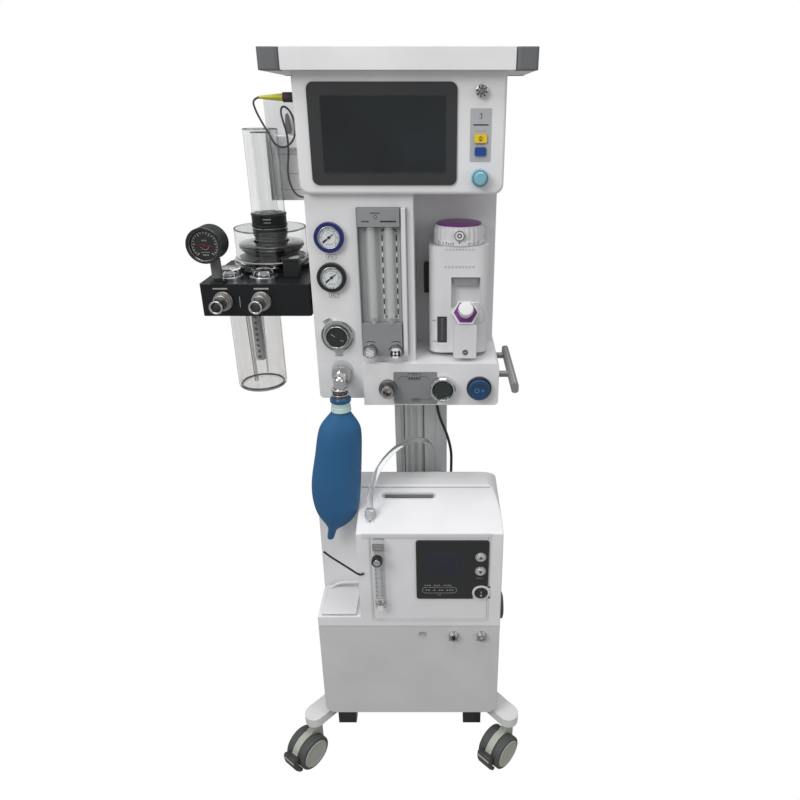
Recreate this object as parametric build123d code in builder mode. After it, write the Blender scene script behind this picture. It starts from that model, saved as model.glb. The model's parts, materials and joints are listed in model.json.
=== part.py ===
"""Veterinary anesthesia machine on an oxygen concentrator trolley.

Millimetres, +Z up, +X to the user's right, the user stands at -Y.
The origin is on the floor, under the middle of the machine's box.
"""
import os
from math import cos, pi, radians, sin, tan

from build123d import *

os.makedirs("parts", exist_ok=True)

# Driving dimensions: the mid-plane of the trolley and the front planes
MID = 62.0
FLOOR_TO_BASE = 96.0
BASE_TOP = 118.0
BAR_FRONT = -123.0
PANEL_FRONT = -108.0
BAY_BACK = 5.0
BODY_BACK = 110.0
WALL = 3.0

# Tray and monitor
TRAY_HALF = 211.0
TRAY_Y = (-145.0, 65.0)
TRAY_Z = (1392.0, 1423.0)
MONITOR_HALF = 167.0
MONITOR_Z = (1210.0, TRAY_Z[0])
BEZEL_X = MID - 27.0
BEZEL_Z = 1301.0
BEZEL_SIZE = (234.0, 152.0)
KEYS_X = MID + 127.5

# Gauge panel, flowmeter and control bar
PANEL_X = (MID - 164.0, MID + 18.0)
BAR_TOP = 913.0
GAUGE_X = MID - 126.0
GAUGE_R = 25.4
OXYGEN_GAUGE_Z = 1139.0
AIR_GAUGE_Z = 1070.0
APL_X = MID - 123.0
APL_Z = 962.5
FLOW_X = (MID - 54.5, MID - 24.0)
FLOW_KNOB_X = (MID - 63.0, MID - 17.0)
FLOW_KNOB_Z = 938.0
FLOW_TUBE_Z = (988.0, 1157.0)
BAR_RIGHT = MID + 172.0
BAR_STEP = MID - 79.0
DIAL_ROW_Z = 865.5
OUTLET_X = MID - 33.5
SELECTOR_X = MID + 68.0
FLUSH_X = MID + 135.5

# Breathing circuit
BLOCK_X = (MID - 363.0, MID - 168.0)
BLOCK_Y = (-105.0, 96.0)
BLOCK_Z = (998.0, 1056.0)
PORT_X = (MID - 323.0, MID - 255.0)
PORT_Z = 1026.0
PORT_R = 11.0
VALVE_X = (MID - 321.0, MID - 258.0)
VALVE_Y = -60.0
BELLOWS_X = MID - 265.0
BELLOWS_Y = 46.0
DOME_R = 68.0
DOME_TOP = 1131.0
COLLAR_R = 32.5
COLLAR_Z = (1117.0, 1158.0)
RISER_TOP = 1306.0
PISTON_HOLE = 34.0
CANISTER_X = MID - 297.0
CANISTER_Y = -10.0
CANISTER_R = 47.5
CANISTER_LOW = 826.0
MANO_X = MID - 337.0
STALK_X = MID - 331.0
MANO_Z = 1127.0

# Breathing bag and its elbow
BAG_X = MID - 119.0
BAG_Y = -150.0
ELBOW_Z = 890.0
BAG_NECK_Z = 839.0

# Vaporizer
VAPOR_X = MID + 97.0
VAPOR_Y = -42.5
VAPOR_FRONT = -85.0
FILLER_X = MID + 109.0
FILLER_TILT = 35.0
FILLER_PLANE = Plane(
    origin=(FILLER_X, VAPOR_FRONT - 10, 998), x_dir=(1, 0, 0),
    z_dir=(0, -cos(radians(FILLER_TILT)), sin(radians(FILLER_TILT))))
DIAL_R = 46.0

# Concentrator cabinet and column
CAB_FRONT = -211.0
CAB_BACK = 20.0
CAB_Z = (126.0, 636.0)
CAB_HALF_LOW = 187.0
CAB_HALF_TOP = 184.0
SPLIT_Z = 372.0
SHOULDER_Z = 600.0
COLUMN_X = (MID - 34.0, MID + 78.0)
COLUMN_Y = (26.0, 108.0)

# Castors
STEM_DX = 214.0
STEM_FRONT_Y = -204.0
STEM_REAR_Y = 258.0
LEG_WIDTH = 44.0
WHEEL_R = 37.5
TRAIL = 30.0
AXLE_R = 4.0
AXLE_HALF = 27.0
STEM_R = 13.0
STEM_Z = 76.0
HOOD_HALF = 7.7
WHEELS_HALF = 27.5
PEDAL_HALF = 16.0
PEDAL_LENGTH = 14.5
PEDAL_REACH = 16.0
PEDAL_Z = (WHEEL_R + 8, WHEEL_R + 14)
RUN_FIT = 0.05
GAP = 0.3


def front(y):
    """Plane of a face that looks at the user: local x is +X, local y is +Z."""
    return Plane(origin=(0, y, 0), x_dir=(1, 0, 0), z_dir=(0, -1, 0))


def side(x):
    """Plane of a face that looks to the right: local x is +Y, local y is +Z."""
    return Plane(origin=(x, 0, 0), x_dir=(0, 1, 0), z_dir=(1, 0, 0))


def block(x, y, z, mode=Mode.ADD):
    """Box between two limits on each axis."""
    middle = ((x[0] + x[1]) / 2, (y[0] + y[1]) / 2, (z[0] + z[1]) / 2)
    with Locations(middle):
        Box(x[1] - x[0], y[1] - y[0], z[1] - z[0], mode=mode)


def hollow(x, y, z, wall=WALL):
    """Closed box with a thin wall all round."""
    block(x, y, z)
    inner = [(low + wall, high - wall) for low, high in (x, y, z)]
    block(*inner, mode=Mode.SUBTRACT)


def front_plate(x, z, size, y_back, y_front, radius=0.0, mode=Mode.ADD):
    """Plate with rounded corners that stands out towards the user."""
    with BuildSketch(front(y_back)) as face:
        with Locations((x, z)):
            if radius:
                RectangleRounded(size[0], size[1], radius)
            else:
                Rectangle(size[0], size[1])
    extrude(face.sketch, amount=y_back - y_front, mode=mode)


def front_disc(x, z, radius, y_back, y_front, mode=Mode.ADD):
    """Cylinder along Y, from y_back out to y_front."""
    with BuildSketch(front(y_back)) as face:
        with Locations((x, z)):
            Circle(radius)
    extrude(face.sketch, amount=y_back - y_front, mode=mode)


def upright(x, y, radius, z_low, z_high, mode=Mode.ADD):
    """Cylinder along Z."""
    with BuildSketch(Plane.XY.offset(z_low)) as face:
        with Locations((x, y)):
            Circle(radius)
    extrude(face.sketch, amount=z_high - z_low, mode=mode)


def save(piece, name):
    piece.part.label = name
    export_step(piece.part, f"parts/{name}.step")


def knob(name, x, z, radius, y_back, y_front, grip=0.0):
    """Round knob or button on the front, with a softened outer edge."""
    with BuildPart() as piece:
        front_disc(x, z, radius, y_back, y_front)
        edge = piece.edges().group_by(Axis.Y)[0]
        fillet(edge, min(2.0, (y_back - y_front) * 0.3))
        if grip:
            front_plate(x, z, (grip, radius * 1.6), y_front + 1.0, y_front - 5.0, 1.5)
    save(piece, name)


# ---------------------------------------------------------------- trolley base
def base_frame():
    thick = BASE_TOP - FLOOR_TO_BASE
    middle_y = (STEM_FRONT_Y + STEM_REAR_Y) / 2
    with BuildPart() as base:
        block((MID - 150, MID + 150), (-150, 190), (FLOOR_TO_BASE, BASE_TOP))
        fillet(base.edges().filter_by(Axis.Z), 24)
        for sx in (-1, 1):
            for y in (STEM_FRONT_Y, STEM_REAR_Y):
                end = (MID + sx * STEM_DX, y)
                root = (MID + sx * 95, middle_y + (y - middle_y) * 0.42)
                along = Vector(end[0] - root[0], end[1] - root[1], 0)
                plane = Plane(
                    origin=((end[0] + root[0]) / 2, (end[1] + root[1]) / 2, FLOOR_TO_BASE),
                    x_dir=along, z_dir=(0, 0, 1))
                with BuildSketch(plane) as leg:
                    SlotCenterToCenter(along.length, LEG_WIDTH)
                extrude(leg.sketch, amount=thick)
    save(base, "base_frame")


def castor(name, x, y, turn, pedal):
    """Twin-wheel castor, turned about its stem: a hood with its axle, and a pair of wheels."""
    place = Location((x, y, 0), (0, 0, -turn))
    with BuildPart() as hood:
        with BuildSketch(side(-HOOD_HALF)) as web:
            with Locations((-TRAIL, WHEEL_R)):
                Circle(WHEEL_R + 1)
                with Locations((0, -WHEEL_R - 14)):
                    Rectangle(4 * WHEEL_R, 2 * WHEEL_R, mode=Mode.SUBTRACT)
        extrude(web.sketch, amount=2 * HOOD_HALF)
        with BuildSketch(side(-AXLE_HALF)) as axle:
            with Locations((-TRAIL, WHEEL_R)):
                Circle(AXLE_R)
        extrude(axle.sketch, amount=2 * AXLE_HALF)
        block((-HOOD_HALF, HOOD_HALF), (-20, 11), (WHEEL_R, STEM_Z + 2))
        upright(0, 0, STEM_R, STEM_Z, FLOOR_TO_BASE - GAP)
        if pedal:
            tip_y = -TRAIL - WHEEL_R - PEDAL_REACH
            block((-PEDAL_HALF, PEDAL_HALF), (tip_y, tip_y + PEDAL_LENGTH), PEDAL_Z)
            block((-HOOD_HALF, HOOD_HALF), (tip_y + PEDAL_LENGTH - 1, tip_y + 24), PEDAL_Z)
    hood.part = hood.part.moved(place)
    save(hood, f"castor_{name}")

    with BuildPart() as wheels:
        for offset in (-WHEELS_HALF, HOOD_HALF + GAP):
            with BuildSketch(side(offset)) as disc:
                with Locations((-TRAIL, WHEEL_R)):
                    Circle(WHEEL_R)
                    Circle(AXLE_R + RUN_FIT, mode=Mode.SUBTRACT)
            extrude(disc.sketch, amount=WHEELS_HALF - HOOD_HALF - GAP)
        rims = wheels.edges().filter_by(GeomType.CIRCLE)
        rims = rims.filter_by(lambda edge: edge.radius > WHEEL_R - 1)
        fillet(rims, 4)
    wheels.part = wheels.part.moved(place)
    save(wheels, f"wheels_{name}")


# ------------------------------------------------------- oxygen concentrator
def cabinet_half(z):
    """Half width of the cabinet, which narrows towards its top."""
    share = (z - CAB_Z[0]) / (CAB_Z[1] - CAB_Z[0])
    return CAB_HALF_LOW + (CAB_HALF_TOP - CAB_HALF_LOW) * share


def cabinet_section(z_low, z_high, inset=0.0, radius=20.0):
    """Front outline of the cabinet between two heights, drawn on the front plane."""
    low = cabinet_half(z_low) - inset
    high = cabinet_half(z_high) - inset
    with BuildSketch(front(CAB_BACK - inset)) as outline:
        with BuildLine():
            Polyline(
                (MID - low, z_low), (MID + low, z_low), (MID + high, z_high),
                (MID - high, z_high), close=True)
        make_face()
        fillet(outline.vertices().group_by(Axis.Y)[-1], radius)
    return outline.sketch


def cabinet():
    depth = CAB_BACK - CAB_FRONT
    with BuildPart() as shell:
        extrude(cabinet_section(SPLIT_Z, CAB_Z[1], radius=34), amount=depth)
        with BuildSketch(side(MID - 220)) as above:
            with BuildLine():
                Polyline(
                    (CAB_FRONT - 5, SHOULDER_Z - 2), (-92, 630), (-87, 634), (-64, CAB_Z[1]),
                    (-40, CAB_Z[1]), (CAB_BACK + 5, 566), (CAB_BACK + 5, 700),
                    (CAB_FRONT - 5, 700), close=True)
            make_face()
        extrude(above.sketch, amount=440, mode=Mode.SUBTRACT)
        block((MID - 165, MID + 165), (CAB_FRONT + 100, CAB_BACK - 4), (SPLIT_Z, 560),
              mode=Mode.SUBTRACT)
        block((MID - 90, MID + 160), (CAB_FRONT + 5, CAB_FRONT + 101), (SPLIT_Z, 580),
              mode=Mode.SUBTRACT)
        # Bay for the humidifier bottle, open to the front, the left and the top
        block((MID - 200, MID - 98), (CAB_FRONT - 1, CAB_FRONT + 92), (396, 700),
              mode=Mode.SUBTRACT)
        # Handle slot in the sloping top
        with BuildSketch(Plane.XY.offset(590)) as slot:
            with Locations((MID, -113)):
                SlotOverall(108, 16)
        extrude(slot.sketch, amount=60, mode=Mode.SUBTRACT)
    save(shell, "cabinet_shell")

    with BuildPart() as lower:
        extrude(cabinet_section(CAB_Z[0], SPLIT_Z - 0.5, radius=1), amount=depth)
        fillet(lower.edges().filter_by(Axis.Y).group_by(Axis.Z)[0], 22)
        block((MID - 170, MID + 170), (CAB_FRONT + 5, CAB_BACK - 5), (CAB_Z[0] + 5, SPLIT_Z + 1),
              mode=Mode.SUBTRACT)
    save(lower, "cabinet_lower_panel")

    with BuildPart() as inside:
        block((MID - 60, MID + 60), (-150, -40), (CAB_Z[0] + 5, 330))
        upright(MID + 110, -95, 38, CAB_Z[0] + 5, 360)
        upright(MID - 115, -60, 38, CAB_Z[0] + 5, 360)
    save(inside, "compressor_and_sieve_tanks")

    with BuildPart() as display:
        front_plate(MID + 87, 516, (141, 140), CAB_FRONT, CAB_FRONT - 3, 5)
        front_plate(MID + 148, 456, (40, 42), CAB_FRONT + 1, CAB_FRONT - 4, 10, mode=Mode.SUBTRACT)
    save(display, "display_panel")


# ------------------------------------------------------------------ upper body
def upper_body():
    back = (BAY_BACK, BODY_BACK)
    with BuildPart() as body:
        hollow((PANEL_X[0], MID + 167), back, (BAR_TOP, MONITOR_Z[0]), 4)
        hollow((PANEL_X[0], MID + 167), (60.2, BODY_BACK), (MONITOR_Z[0], 1385), 4)
        hollow((MID - 262, PANEL_X[0]), (80, BODY_BACK), (1176, 1355), 4)
    save(body, "upper_body")

    with BuildPart() as panel:
        hollow(PANEL_X, (PANEL_FRONT, BAY_BACK), (BAR_TOP, MONITOR_Z[0]))
        block((MID - 78, MID + 3), (PANEL_FRONT - 1, PANEL_FRONT + 1.5), (926, 1188),
              mode=Mode.SUBTRACT)
        front_disc(APL_X, APL_Z, 30, PANEL_FRONT, PANEL_FRONT - 3)
    save(panel, "gauge_panel")

    with BuildPart() as bar:
        hollow((PANEL_X[0], BAR_STEP), (PANEL_FRONT, BODY_BACK), (838, BAR_TOP))
        hollow((BAR_STEP, BAR_RIGHT), (BAR_FRONT, BODY_BACK), (830, BAR_TOP))
        fillet(bar.edges().filter_by(Axis.Y).group_by(Axis.X)[-1], 8)
        fillet(bar.edges().filter_by(Axis.Y).group_by(Axis.X)[0].sort_by(Axis.Z)[0], 8)
    save(bar, "control_bar")

    with BuildPart() as monitor:
        block((MID - MONITOR_HALF, MID + MONITOR_HALF), (BAR_FRONT, 60), MONITOR_Z)
        fillet(monitor.edges().filter_by(Axis.Y).group_by(Axis.Z)[0], 16)
        fillet(monitor.faces().sort_by(Axis.Y)[0].edges().filter_by(Axis.Z), 6)
        block((MID - 160, MID + 160), (BAR_FRONT + 5, 56), (MONITOR_Z[0] + 16, MONITOR_Z[1] - 3),
              mode=Mode.SUBTRACT)
    save(monitor, "monitor_housing")

    with BuildPart() as bezel:
        front_plate(BEZEL_X, BEZEL_Z, BEZEL_SIZE, BAR_FRONT, BAR_FRONT - 2.5, 11)
    save(bezel, "screen_bezel")

    with BuildPart() as tray:
        block((MID - TRAY_HALF + 1, MID + TRAY_HALF - 1), (TRAY_Y[0] + 1, TRAY_Y[1] - 1), TRAY_Z)
        block((MID - TRAY_HALF + 13, MID + TRAY_HALF - 13), (TRAY_Y[0] + 13, TRAY_Y[1] - 13),
              (TRAY_Z[0] + 8, TRAY_Z[1] + 1), mode=Mode.SUBTRACT)
        for sx in (-1, 1):
            for y in TRAY_Y:
                corner = (MID + sx * TRAY_HALF, y)
                tray_corner_cut(corner)
    save(tray, "tray")

    with BuildPart() as corners:
        for sx in (-1, 1):
            for sy, y in ((1, TRAY_Y[0]), (-1, TRAY_Y[1])):
                x = (MID + sx * TRAY_HALF, MID + sx * (TRAY_HALF - 34))
                span = (min(y, y + sy * 34), max(y, y + sy * 34))
                with BuildSketch(Plane.XY.offset(TRAY_Z[0])) as cap:
                    with Locations(((x[0] + x[1]) / 2, (span[0] + span[1]) / 2)):
                        RectangleRounded(34, 34, 7)
                extrude(cap.sketch, amount=TRAY_Z[1] - TRAY_Z[0])
    save(corners, "tray_corners")


def tray_corner_cut(corner):
    """Room in the tray for one corner cap."""
    with BuildSketch(Plane.XY.offset(TRAY_Z[0] - 1)) as notch:
        with Locations(corner):
            Rectangle(68.2, 68.2)
    extrude(notch.sketch, amount=40, mode=Mode.SUBTRACT)


# ------------------------------------------------------- gauges and flowmeter
def gauges():
    with BuildPart() as cases:
        for z in (OXYGEN_GAUGE_Z, AIR_GAUGE_Z):
            front_disc(GAUGE_X, z, GAUGE_R, PANEL_FRONT, PANEL_FRONT - 9)
            front_disc(GAUGE_X, z, GAUGE_R - 6, PANEL_FRONT - 5, PANEL_FRONT - 10,
                       mode=Mode.SUBTRACT)
            front_disc(GAUGE_X, z, 2.5, PANEL_FRONT - 5, PANEL_FRONT - 7)
            front_plate(GAUGE_X - 6, z, (13, 1.4), PANEL_FRONT - 5, PANEL_FRONT - 6.3)
    save(cases, "panel_gauges")


def flowmeter():
    with BuildPart() as plates:
        block((MID - 76, MID - 5), (PANEL_FRONT - 12, PANEL_FRONT + 1.5), (1157, 1187))
        block((MID - 76, MID - 5), (PANEL_FRONT - 12, PANEL_FRONT + 1.5), (927, 988))
        block((MID - 76, MID - 5), (PANEL_FRONT + 0.5, PANEL_FRONT + 1.5), (988, 1157))
    save(plates, "flowmeter_block")
    with BuildPart() as tubes:
        for x in FLOW_X:
            upright(x, PANEL_FRONT - 7.6, 7.5, *FLOW_TUBE_Z)
            upright(x, PANEL_FRONT - 7.6, 5.5, *FLOW_TUBE_Z, mode=Mode.SUBTRACT)
        front_plate(MID - 55, 505, (22, 170), CAB_FRONT, CAB_FRONT - 14, 4)
        upright(MID - 55, CAB_FRONT - 7, 4, 430, 535, mode=Mode.SUBTRACT)
    save(tubes, "flow_tubes")
    for name, x in (("oxygen_float", FLOW_X[0]), ("air_float", FLOW_X[1])):
        with BuildPart() as ball:
            with Locations((x, PANEL_FRONT - 7.6, FLOW_TUBE_Z[0] + 4.6)):
                Sphere(4.5)
        save(ball, name)
    for name, x in (("oxygen_flow_knob", FLOW_KNOB_X[0]), ("air_flow_knob", FLOW_KNOB_X[1])):
        knob(name, x, FLOW_KNOB_Z, 11, PANEL_FRONT - 12 - GAP, PANEL_FRONT - 34)


def controls():
    knob("apl_knob", APL_X, APL_Z, 21.5, PANEL_FRONT - 3 - GAP, PANEL_FRONT - 19, 8)
    knob("power_button", KEYS_X, 1363.5, 9.5, BAR_FRONT - 2.5, BAR_FRONT - 7)
    knob("menu_knob", KEYS_X, 1236.5, 14, BAR_FRONT - GAP, BAR_FRONT - 20)
    knob("outlet_selector", SELECTOR_X, DIAL_ROW_Z, 22.5, BAR_FRONT - GAP, BAR_FRONT - 14, 9)
    knob("flush_button", FLUSH_X, DIAL_ROW_Z, 21, BAR_FRONT - 6.5, BAR_FRONT - 16)
    for name, z, width in (("yellow_key", 1295.7, 20), ("blue_key", 1276.3, 18)):
        with BuildPart() as key:
            front_plate(KEYS_X, z, (width, 13), BAR_FRONT - 1.5, BAR_FRONT - 3.5, 2)
        save(key, name)
    with BuildPart() as rail:
        block((MID + 190, MID + 203), (-172, 28), (876, 895))
        fillet(rail.edges().filter_by(Axis.Y), 5)
        for y in (-100, 0):
            with BuildSketch(side(MID + 172)) as post:
                with Locations((y, 884)):
                    Circle(6)
            extrude(post.sketch, amount=22)
    save(rail, "side_rail")


# ---------------------------------------------------------- breathing circuit
def breathing_block():
    with BuildPart() as body:
        block(BLOCK_X, BLOCK_Y, BLOCK_Z)
        fillet(body.edges().filter_by(Axis.Z), 5)
        block((BLOCK_X[1] - 1, PANEL_X[0]), (-60, 90), (1005, 1050))
        upright(BELLOWS_X, BELLOWS_Y, 74, BLOCK_Z[1], BLOCK_Z[1] + 9)
        upright(BELLOWS_X, BELLOWS_Y, 24, BLOCK_Z[1], 1107)
        upright(BELLOWS_X, BELLOWS_Y, 30, 1106, COLLAR_Z[0] + 1)
        upright(BELLOWS_X, BELLOWS_Y, COLLAR_R, *COLLAR_Z)
    save(body, "breathing_block")

    with BuildPart() as ports:
        for x in PORT_X:
            front_disc(x, PORT_Z, 16, BLOCK_Y[0], BLOCK_Y[0] - 9)
            front_disc(x, PORT_Z, PORT_R, BLOCK_Y[0] - 9, BLOCK_Y[0] - 45)
            front_disc(x, PORT_Z, 8.5, BLOCK_Y[0] - 2, BLOCK_Y[0] - 46, mode=Mode.SUBTRACT)
        front_disc(OUTLET_X, DIAL_ROW_Z, 16, BAR_FRONT, BAR_FRONT - 9)
        front_disc(OUTLET_X, DIAL_ROW_Z, PORT_R, BAR_FRONT - 9, BAR_FRONT - 26)
        front_disc(OUTLET_X, DIAL_ROW_Z, 7.5, BAR_FRONT - 4, BAR_FRONT - 27, mode=Mode.SUBTRACT)
        front_disc(FLUSH_X, DIAL_ROW_Z, 23.5, BAR_FRONT, BAR_FRONT - 3)
    save(ports, "port_fittings")

    with BuildPart() as domes:
        for x in VALVE_X:
            upright(x, VALVE_Y, 24.5, BLOCK_Z[1], BLOCK_Z[1] + 5)
            upright(x, VALVE_Y, 21, BLOCK_Z[1] + 5, BLOCK_Z[1] + 20)
            upright(x, VALVE_Y, 18.5, BLOCK_Z[1] + 1.5, BLOCK_Z[1] + 17, mode=Mode.SUBTRACT)
        upright(BELLOWS_X, BELLOWS_Y, DOME_R, 1065, DOME_TOP)
        upright(BELLOWS_X, BELLOWS_Y, DOME_R - 3, 1065, DOME_TOP - 3, mode=Mode.SUBTRACT)
        upright(BELLOWS_X, BELLOWS_Y, COLLAR_R + 0.5, DOME_TOP - 4, DOME_TOP + 1,
                mode=Mode.SUBTRACT)
        for outer, top in ((31, RISER_TOP), (18, RISER_TOP - 6)):
            upright(BELLOWS_X, BELLOWS_Y, outer, COLLAR_Z[1], top)
            upright(BELLOWS_X, BELLOWS_Y, outer - 2.3, COLLAR_Z[1], top, mode=Mode.SUBTRACT)
    save(domes, "clear_covers")

    with BuildPart() as bellows:
        with BuildSketch(Plane.XZ) as profile:
            with BuildLine():
                Polyline((PISTON_HOLE, 1066), (60, 1066), (62, 1074), (50, 1083), (60, 1093),
                         (62, 1099), (PISTON_HOLE, 1099), close=True)
            make_face()
        revolve(profile.sketch, axis=Axis.Z)
    bellows.part = bellows.part.moved(Location((BELLOWS_X, BELLOWS_Y, 0)))
    save(bellows, "bellows")
    with BuildPart() as plate:
        upright(BELLOWS_X, BELLOWS_Y, 62, 1099.2, 1103)
        upright(BELLOWS_X, BELLOWS_Y, PISTON_HOLE, 1099, 1104, mode=Mode.SUBTRACT)
    save(plate, "bellows_plate")

    with BuildPart() as canister:
        upright(CANISTER_X, CANISTER_Y, CANISTER_R, CANISTER_LOW, BLOCK_Z[0] - GAP)
        fillet(canister.edges().group_by(Axis.Z)[0], 8)
        upright(CANISTER_X, CANISTER_Y, CANISTER_R - 3, CANISTER_LOW + 4, BLOCK_Z[0],
                mode=Mode.SUBTRACT)
    save(canister, "absorber_canister")
    with BuildPart() as manometer:
        front_disc(MANO_X, MANO_Z, 30, -83, -125)
        front_disc(MANO_X, MANO_Z, 26, -119, -126, mode=Mode.SUBTRACT)
        upright(STALK_X, -96, 8, BLOCK_Z[1], MANO_Z - 25)
    save(manometer, "manometer")
    with BuildPart() as needle:
        front_disc(MANO_X, MANO_Z, 3, -119.3, -121.5)
        front_plate(MANO_X - 4, MANO_Z, (32, 1.5), -119.3, -120.8)
    save(needle, "manometer_needle")


def bag_section(x, z, half_x, half_y):
    with BuildSketch(Plane.XY.offset(z)) as ring:
        with Locations((x, BAG_Y)):
            Ellipse(half_x, half_y)
    return ring.sketch


def breathing_bag():
    with BuildPart() as elbow:
        front_disc(BAG_X, ELBOW_Z, 16, PANEL_FRONT - GAP, PANEL_FRONT - 6)
        front_disc(BAG_X, ELBOW_Z, 11, PANEL_FRONT - 6, BAG_Y)
        with Locations((BAG_X, BAG_Y, ELBOW_Z)):
            Sphere(11)
        upright(BAG_X, BAG_Y, 11, BAG_NECK_Z + 21, ELBOW_Z)
        upright(BAG_X, BAG_Y, 13.5, BAG_NECK_Z + 10, BAG_NECK_Z + 21)
        upright(BAG_X, BAG_Y, 11, BAG_NECK_Z, BAG_NECK_Z + 10)
    save(elbow, "bag_elbow")
    # Height, sideways drift, half width and half depth of each section of the bag
    sections = ((BAG_NECK_Z, -1, 14, 14), (817, -2, 28, 20), (794, -5, 40, 26),
                (740, -11, 44, 29), (676, -19, 48, 30), (632, -22, 46, 27),
                (604, -22, 38, 23), (583, -24, 21, 15), (569, -31, 8, 7), (543, -39, 7, 6))
    with BuildPart() as bag:
        loft([bag_section(BAG_X + dx, z, a, b) for z, dx, a, b in sections], ruled=True)
        inner = [bag_section(BAG_X + dx, z, a - 2, b - 2) for z, dx, a, b in sections[1:-2]]
        loft(inner, ruled=True, mode=Mode.SUBTRACT)
    save(bag, "breathing_bag")


# ------------------------------------------------------------------- vaporizer
def vaporizer():
    with BuildPart() as body:
        block((VAPOR_X - 54, VAPOR_X + 54), (VAPOR_FRONT, BAY_BACK), (921, 1118))
        front_edges = body.edges().filter_by(Axis.Z).group_by(Axis.Y)[0]
        fillet(front_edges, 22)
        front_plate(MID + 109, 1035, (52, 58), VAPOR_FRONT + 14, VAPOR_FRONT - 1,
                    mode=Mode.SUBTRACT)
        block((MID + 58, MID + 76), (VAPOR_FRONT - 1, VAPOR_FRONT + 5), (940, 991),
              mode=Mode.SUBTRACT)
        block((VAPOR_X - 40, VAPOR_X + 40), (-70, 0), (935, 990), mode=Mode.SUBTRACT)
    save(body, "vaporizer_body")
    with BuildPart() as dial:
        upright(VAPOR_X, VAPOR_Y, DIAL_R, 1118 + GAP, 1146)
        upright(VAPOR_X, VAPOR_Y, DIAL_R - 3, 1146, 1154)
        fillet(dial.edges().group_by(Axis.Z)[-1], 3)
    save(dial, "vaporizer_dial")
    with BuildPart() as filler:
        front_plate(FILLER_X, 952, (43, 68), VAPOR_FRONT, VAPOR_FRONT - 16, 3)
        with BuildSketch(FILLER_PLANE.offset(-8)) as nut:
            RegularPolygon(25, 6)
        extrude(nut.sketch, amount=18)
        block((FILLER_X - 30, FILLER_X + 30), (VAPOR_FRONT, -40), (940, 1006), mode=Mode.SUBTRACT)
        front_disc(FILLER_X, 932, 4, VAPOR_FRONT - 16, VAPOR_FRONT - 18)
    save(filler, "vaporizer_filler")
    with BuildPart() as cap:
        with BuildSketch(FILLER_PLANE.offset(10 + GAP)) as lid:
            Circle(14)
        extrude(lid.sketch, amount=24)
    save(cap, "filler_cap")


# --------------------------------------------------------- concentrator fittings
def concentrator_controls():
    with BuildPart() as ball:
        with Locations((MID - 55, CAB_FRONT - 7, 433.5)):
            Sphere(3.2)
    save(ball, "outlet_float")
    knob("outlet_flow_knob", MID - 57, 552, 10.5, CAB_FRONT - 14 - GAP, CAB_FRONT - 30)
    knob("power_rocker", MID + 144.5, 461, 12, CAB_FRONT - 2.2, CAB_FRONT - 6)
    knob("up_button", MID + 142, 548, 8.5, CAB_FRONT - 4.2, CAB_FRONT - 6.5)
    knob("down_button", MID + 142, 514.5, 8.5, CAB_FRONT - 4.2, CAB_FRONT - 6.5)
    with BuildPart() as fittings:
        for x in (MID - 135, MID + 135):
            for y in (-130, -20):
                upright(x, y, 15, BASE_TOP, CAB_Z[0])
        for x in (MID - 162, MID + 114):
            block((x, x + 39), (-206, -184), (88, CAB_Z[0]))
        for x in (MID + 91, MID + 148):
            front_disc(x, 349, 10, CAB_FRONT, CAB_FRONT - 8)
        upright(*HOSE_START[:2], 10, 606, HOSE_START[2])
        upright(*HOSE_END[:2], 10, 570, HOSE_END[2])
        upright(CORD_START[0], CORD_START[1], 5, CORD_START[2], 830)
        with BuildSketch(Plane(origin=(CORD_END[0], CAB_BACK, CORD_END[2]), x_dir=(1, 0, 0),
                               z_dir=(0, 1, 0))) as inlet:
            Circle(6)
        extrude(inlet.sketch, amount=CORD_END[1] - CAB_BACK)
        with BuildSketch(side(PLUG_ROOT_X)) as socket:
            with Locations((SENSOR_Y, PLUG_Z)):
                Circle(8)
        extrude(socket.sketch, amount=MID - MONITOR_HALF - PLUG_ROOT_X)
    save(fittings, "feet_and_sockets")


def column():
    with BuildPart() as post:
        block(COLUMN_X, COLUMN_Y, (BASE_TOP, 830))
        fillet(post.edges().filter_by(Axis.Z).group_by(Axis.X)[-1], 16)
        block((COLUMN_X[0] + 6, COLUMN_X[1] - 20), (COLUMN_Y[0] + 6, COLUMN_Y[1] - 6),
              (BASE_TOP + 5, 825), mode=Mode.SUBTRACT)
        for index in range(4):
            x = COLUMN_X[0] + 12 + index * 15
            block((x, x + 6), (COLUMN_Y[0] - 1, COLUMN_Y[0] + 3), (BASE_TOP - 1, 831),
                  mode=Mode.SUBTRACT)
    save(post, "column")


# ------------------------------------------------------------- hose and cords
SENSOR_Y = -58.0
PLUG_Z = 1356.0
PLUG_ROOT_X = MID - MONITOR_HALF - 6
PLUG_TIP_X = MID - 234.0
HOSE_DIAMETER = 11.4
HOSE_START = (MID - 73.0, -170.0, 626.0)
HOSE_END = (MID + 46.0, 6.0, 606.0)
HOSE_ROUTE = (
    HOSE_START, (-11, -168, 655), (-5, -158, 682), (8, -137, 706), (29, -110, 722),
    (54, -77, 727), (79, -42, 717), (99, -12, 693), (108, 3, 662), (108, 6, 634), HOSE_END)
CORD_DIAMETER = 6.0
CORD_START = (MID + 55.0, 8.0, 805.0)
CORD_END = (MID + 118.0, 34.0, 430.0)
CORD_ROUTE = (
    CORD_START, (117.5, 8, 775), (124, 9, 740), (140, 12, 700), (150, 18, 655),
    (150, 29, 610), (150, 45, 568), (156, 61, 532), (165, 71, 503), (173, 76, 480),
    (178, 75, 460), (180, 69, 446), (180.5, 59, 436), (180.2, 47, 430.5), CORD_END)
SENSOR_DIAMETER = 3.4
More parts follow.
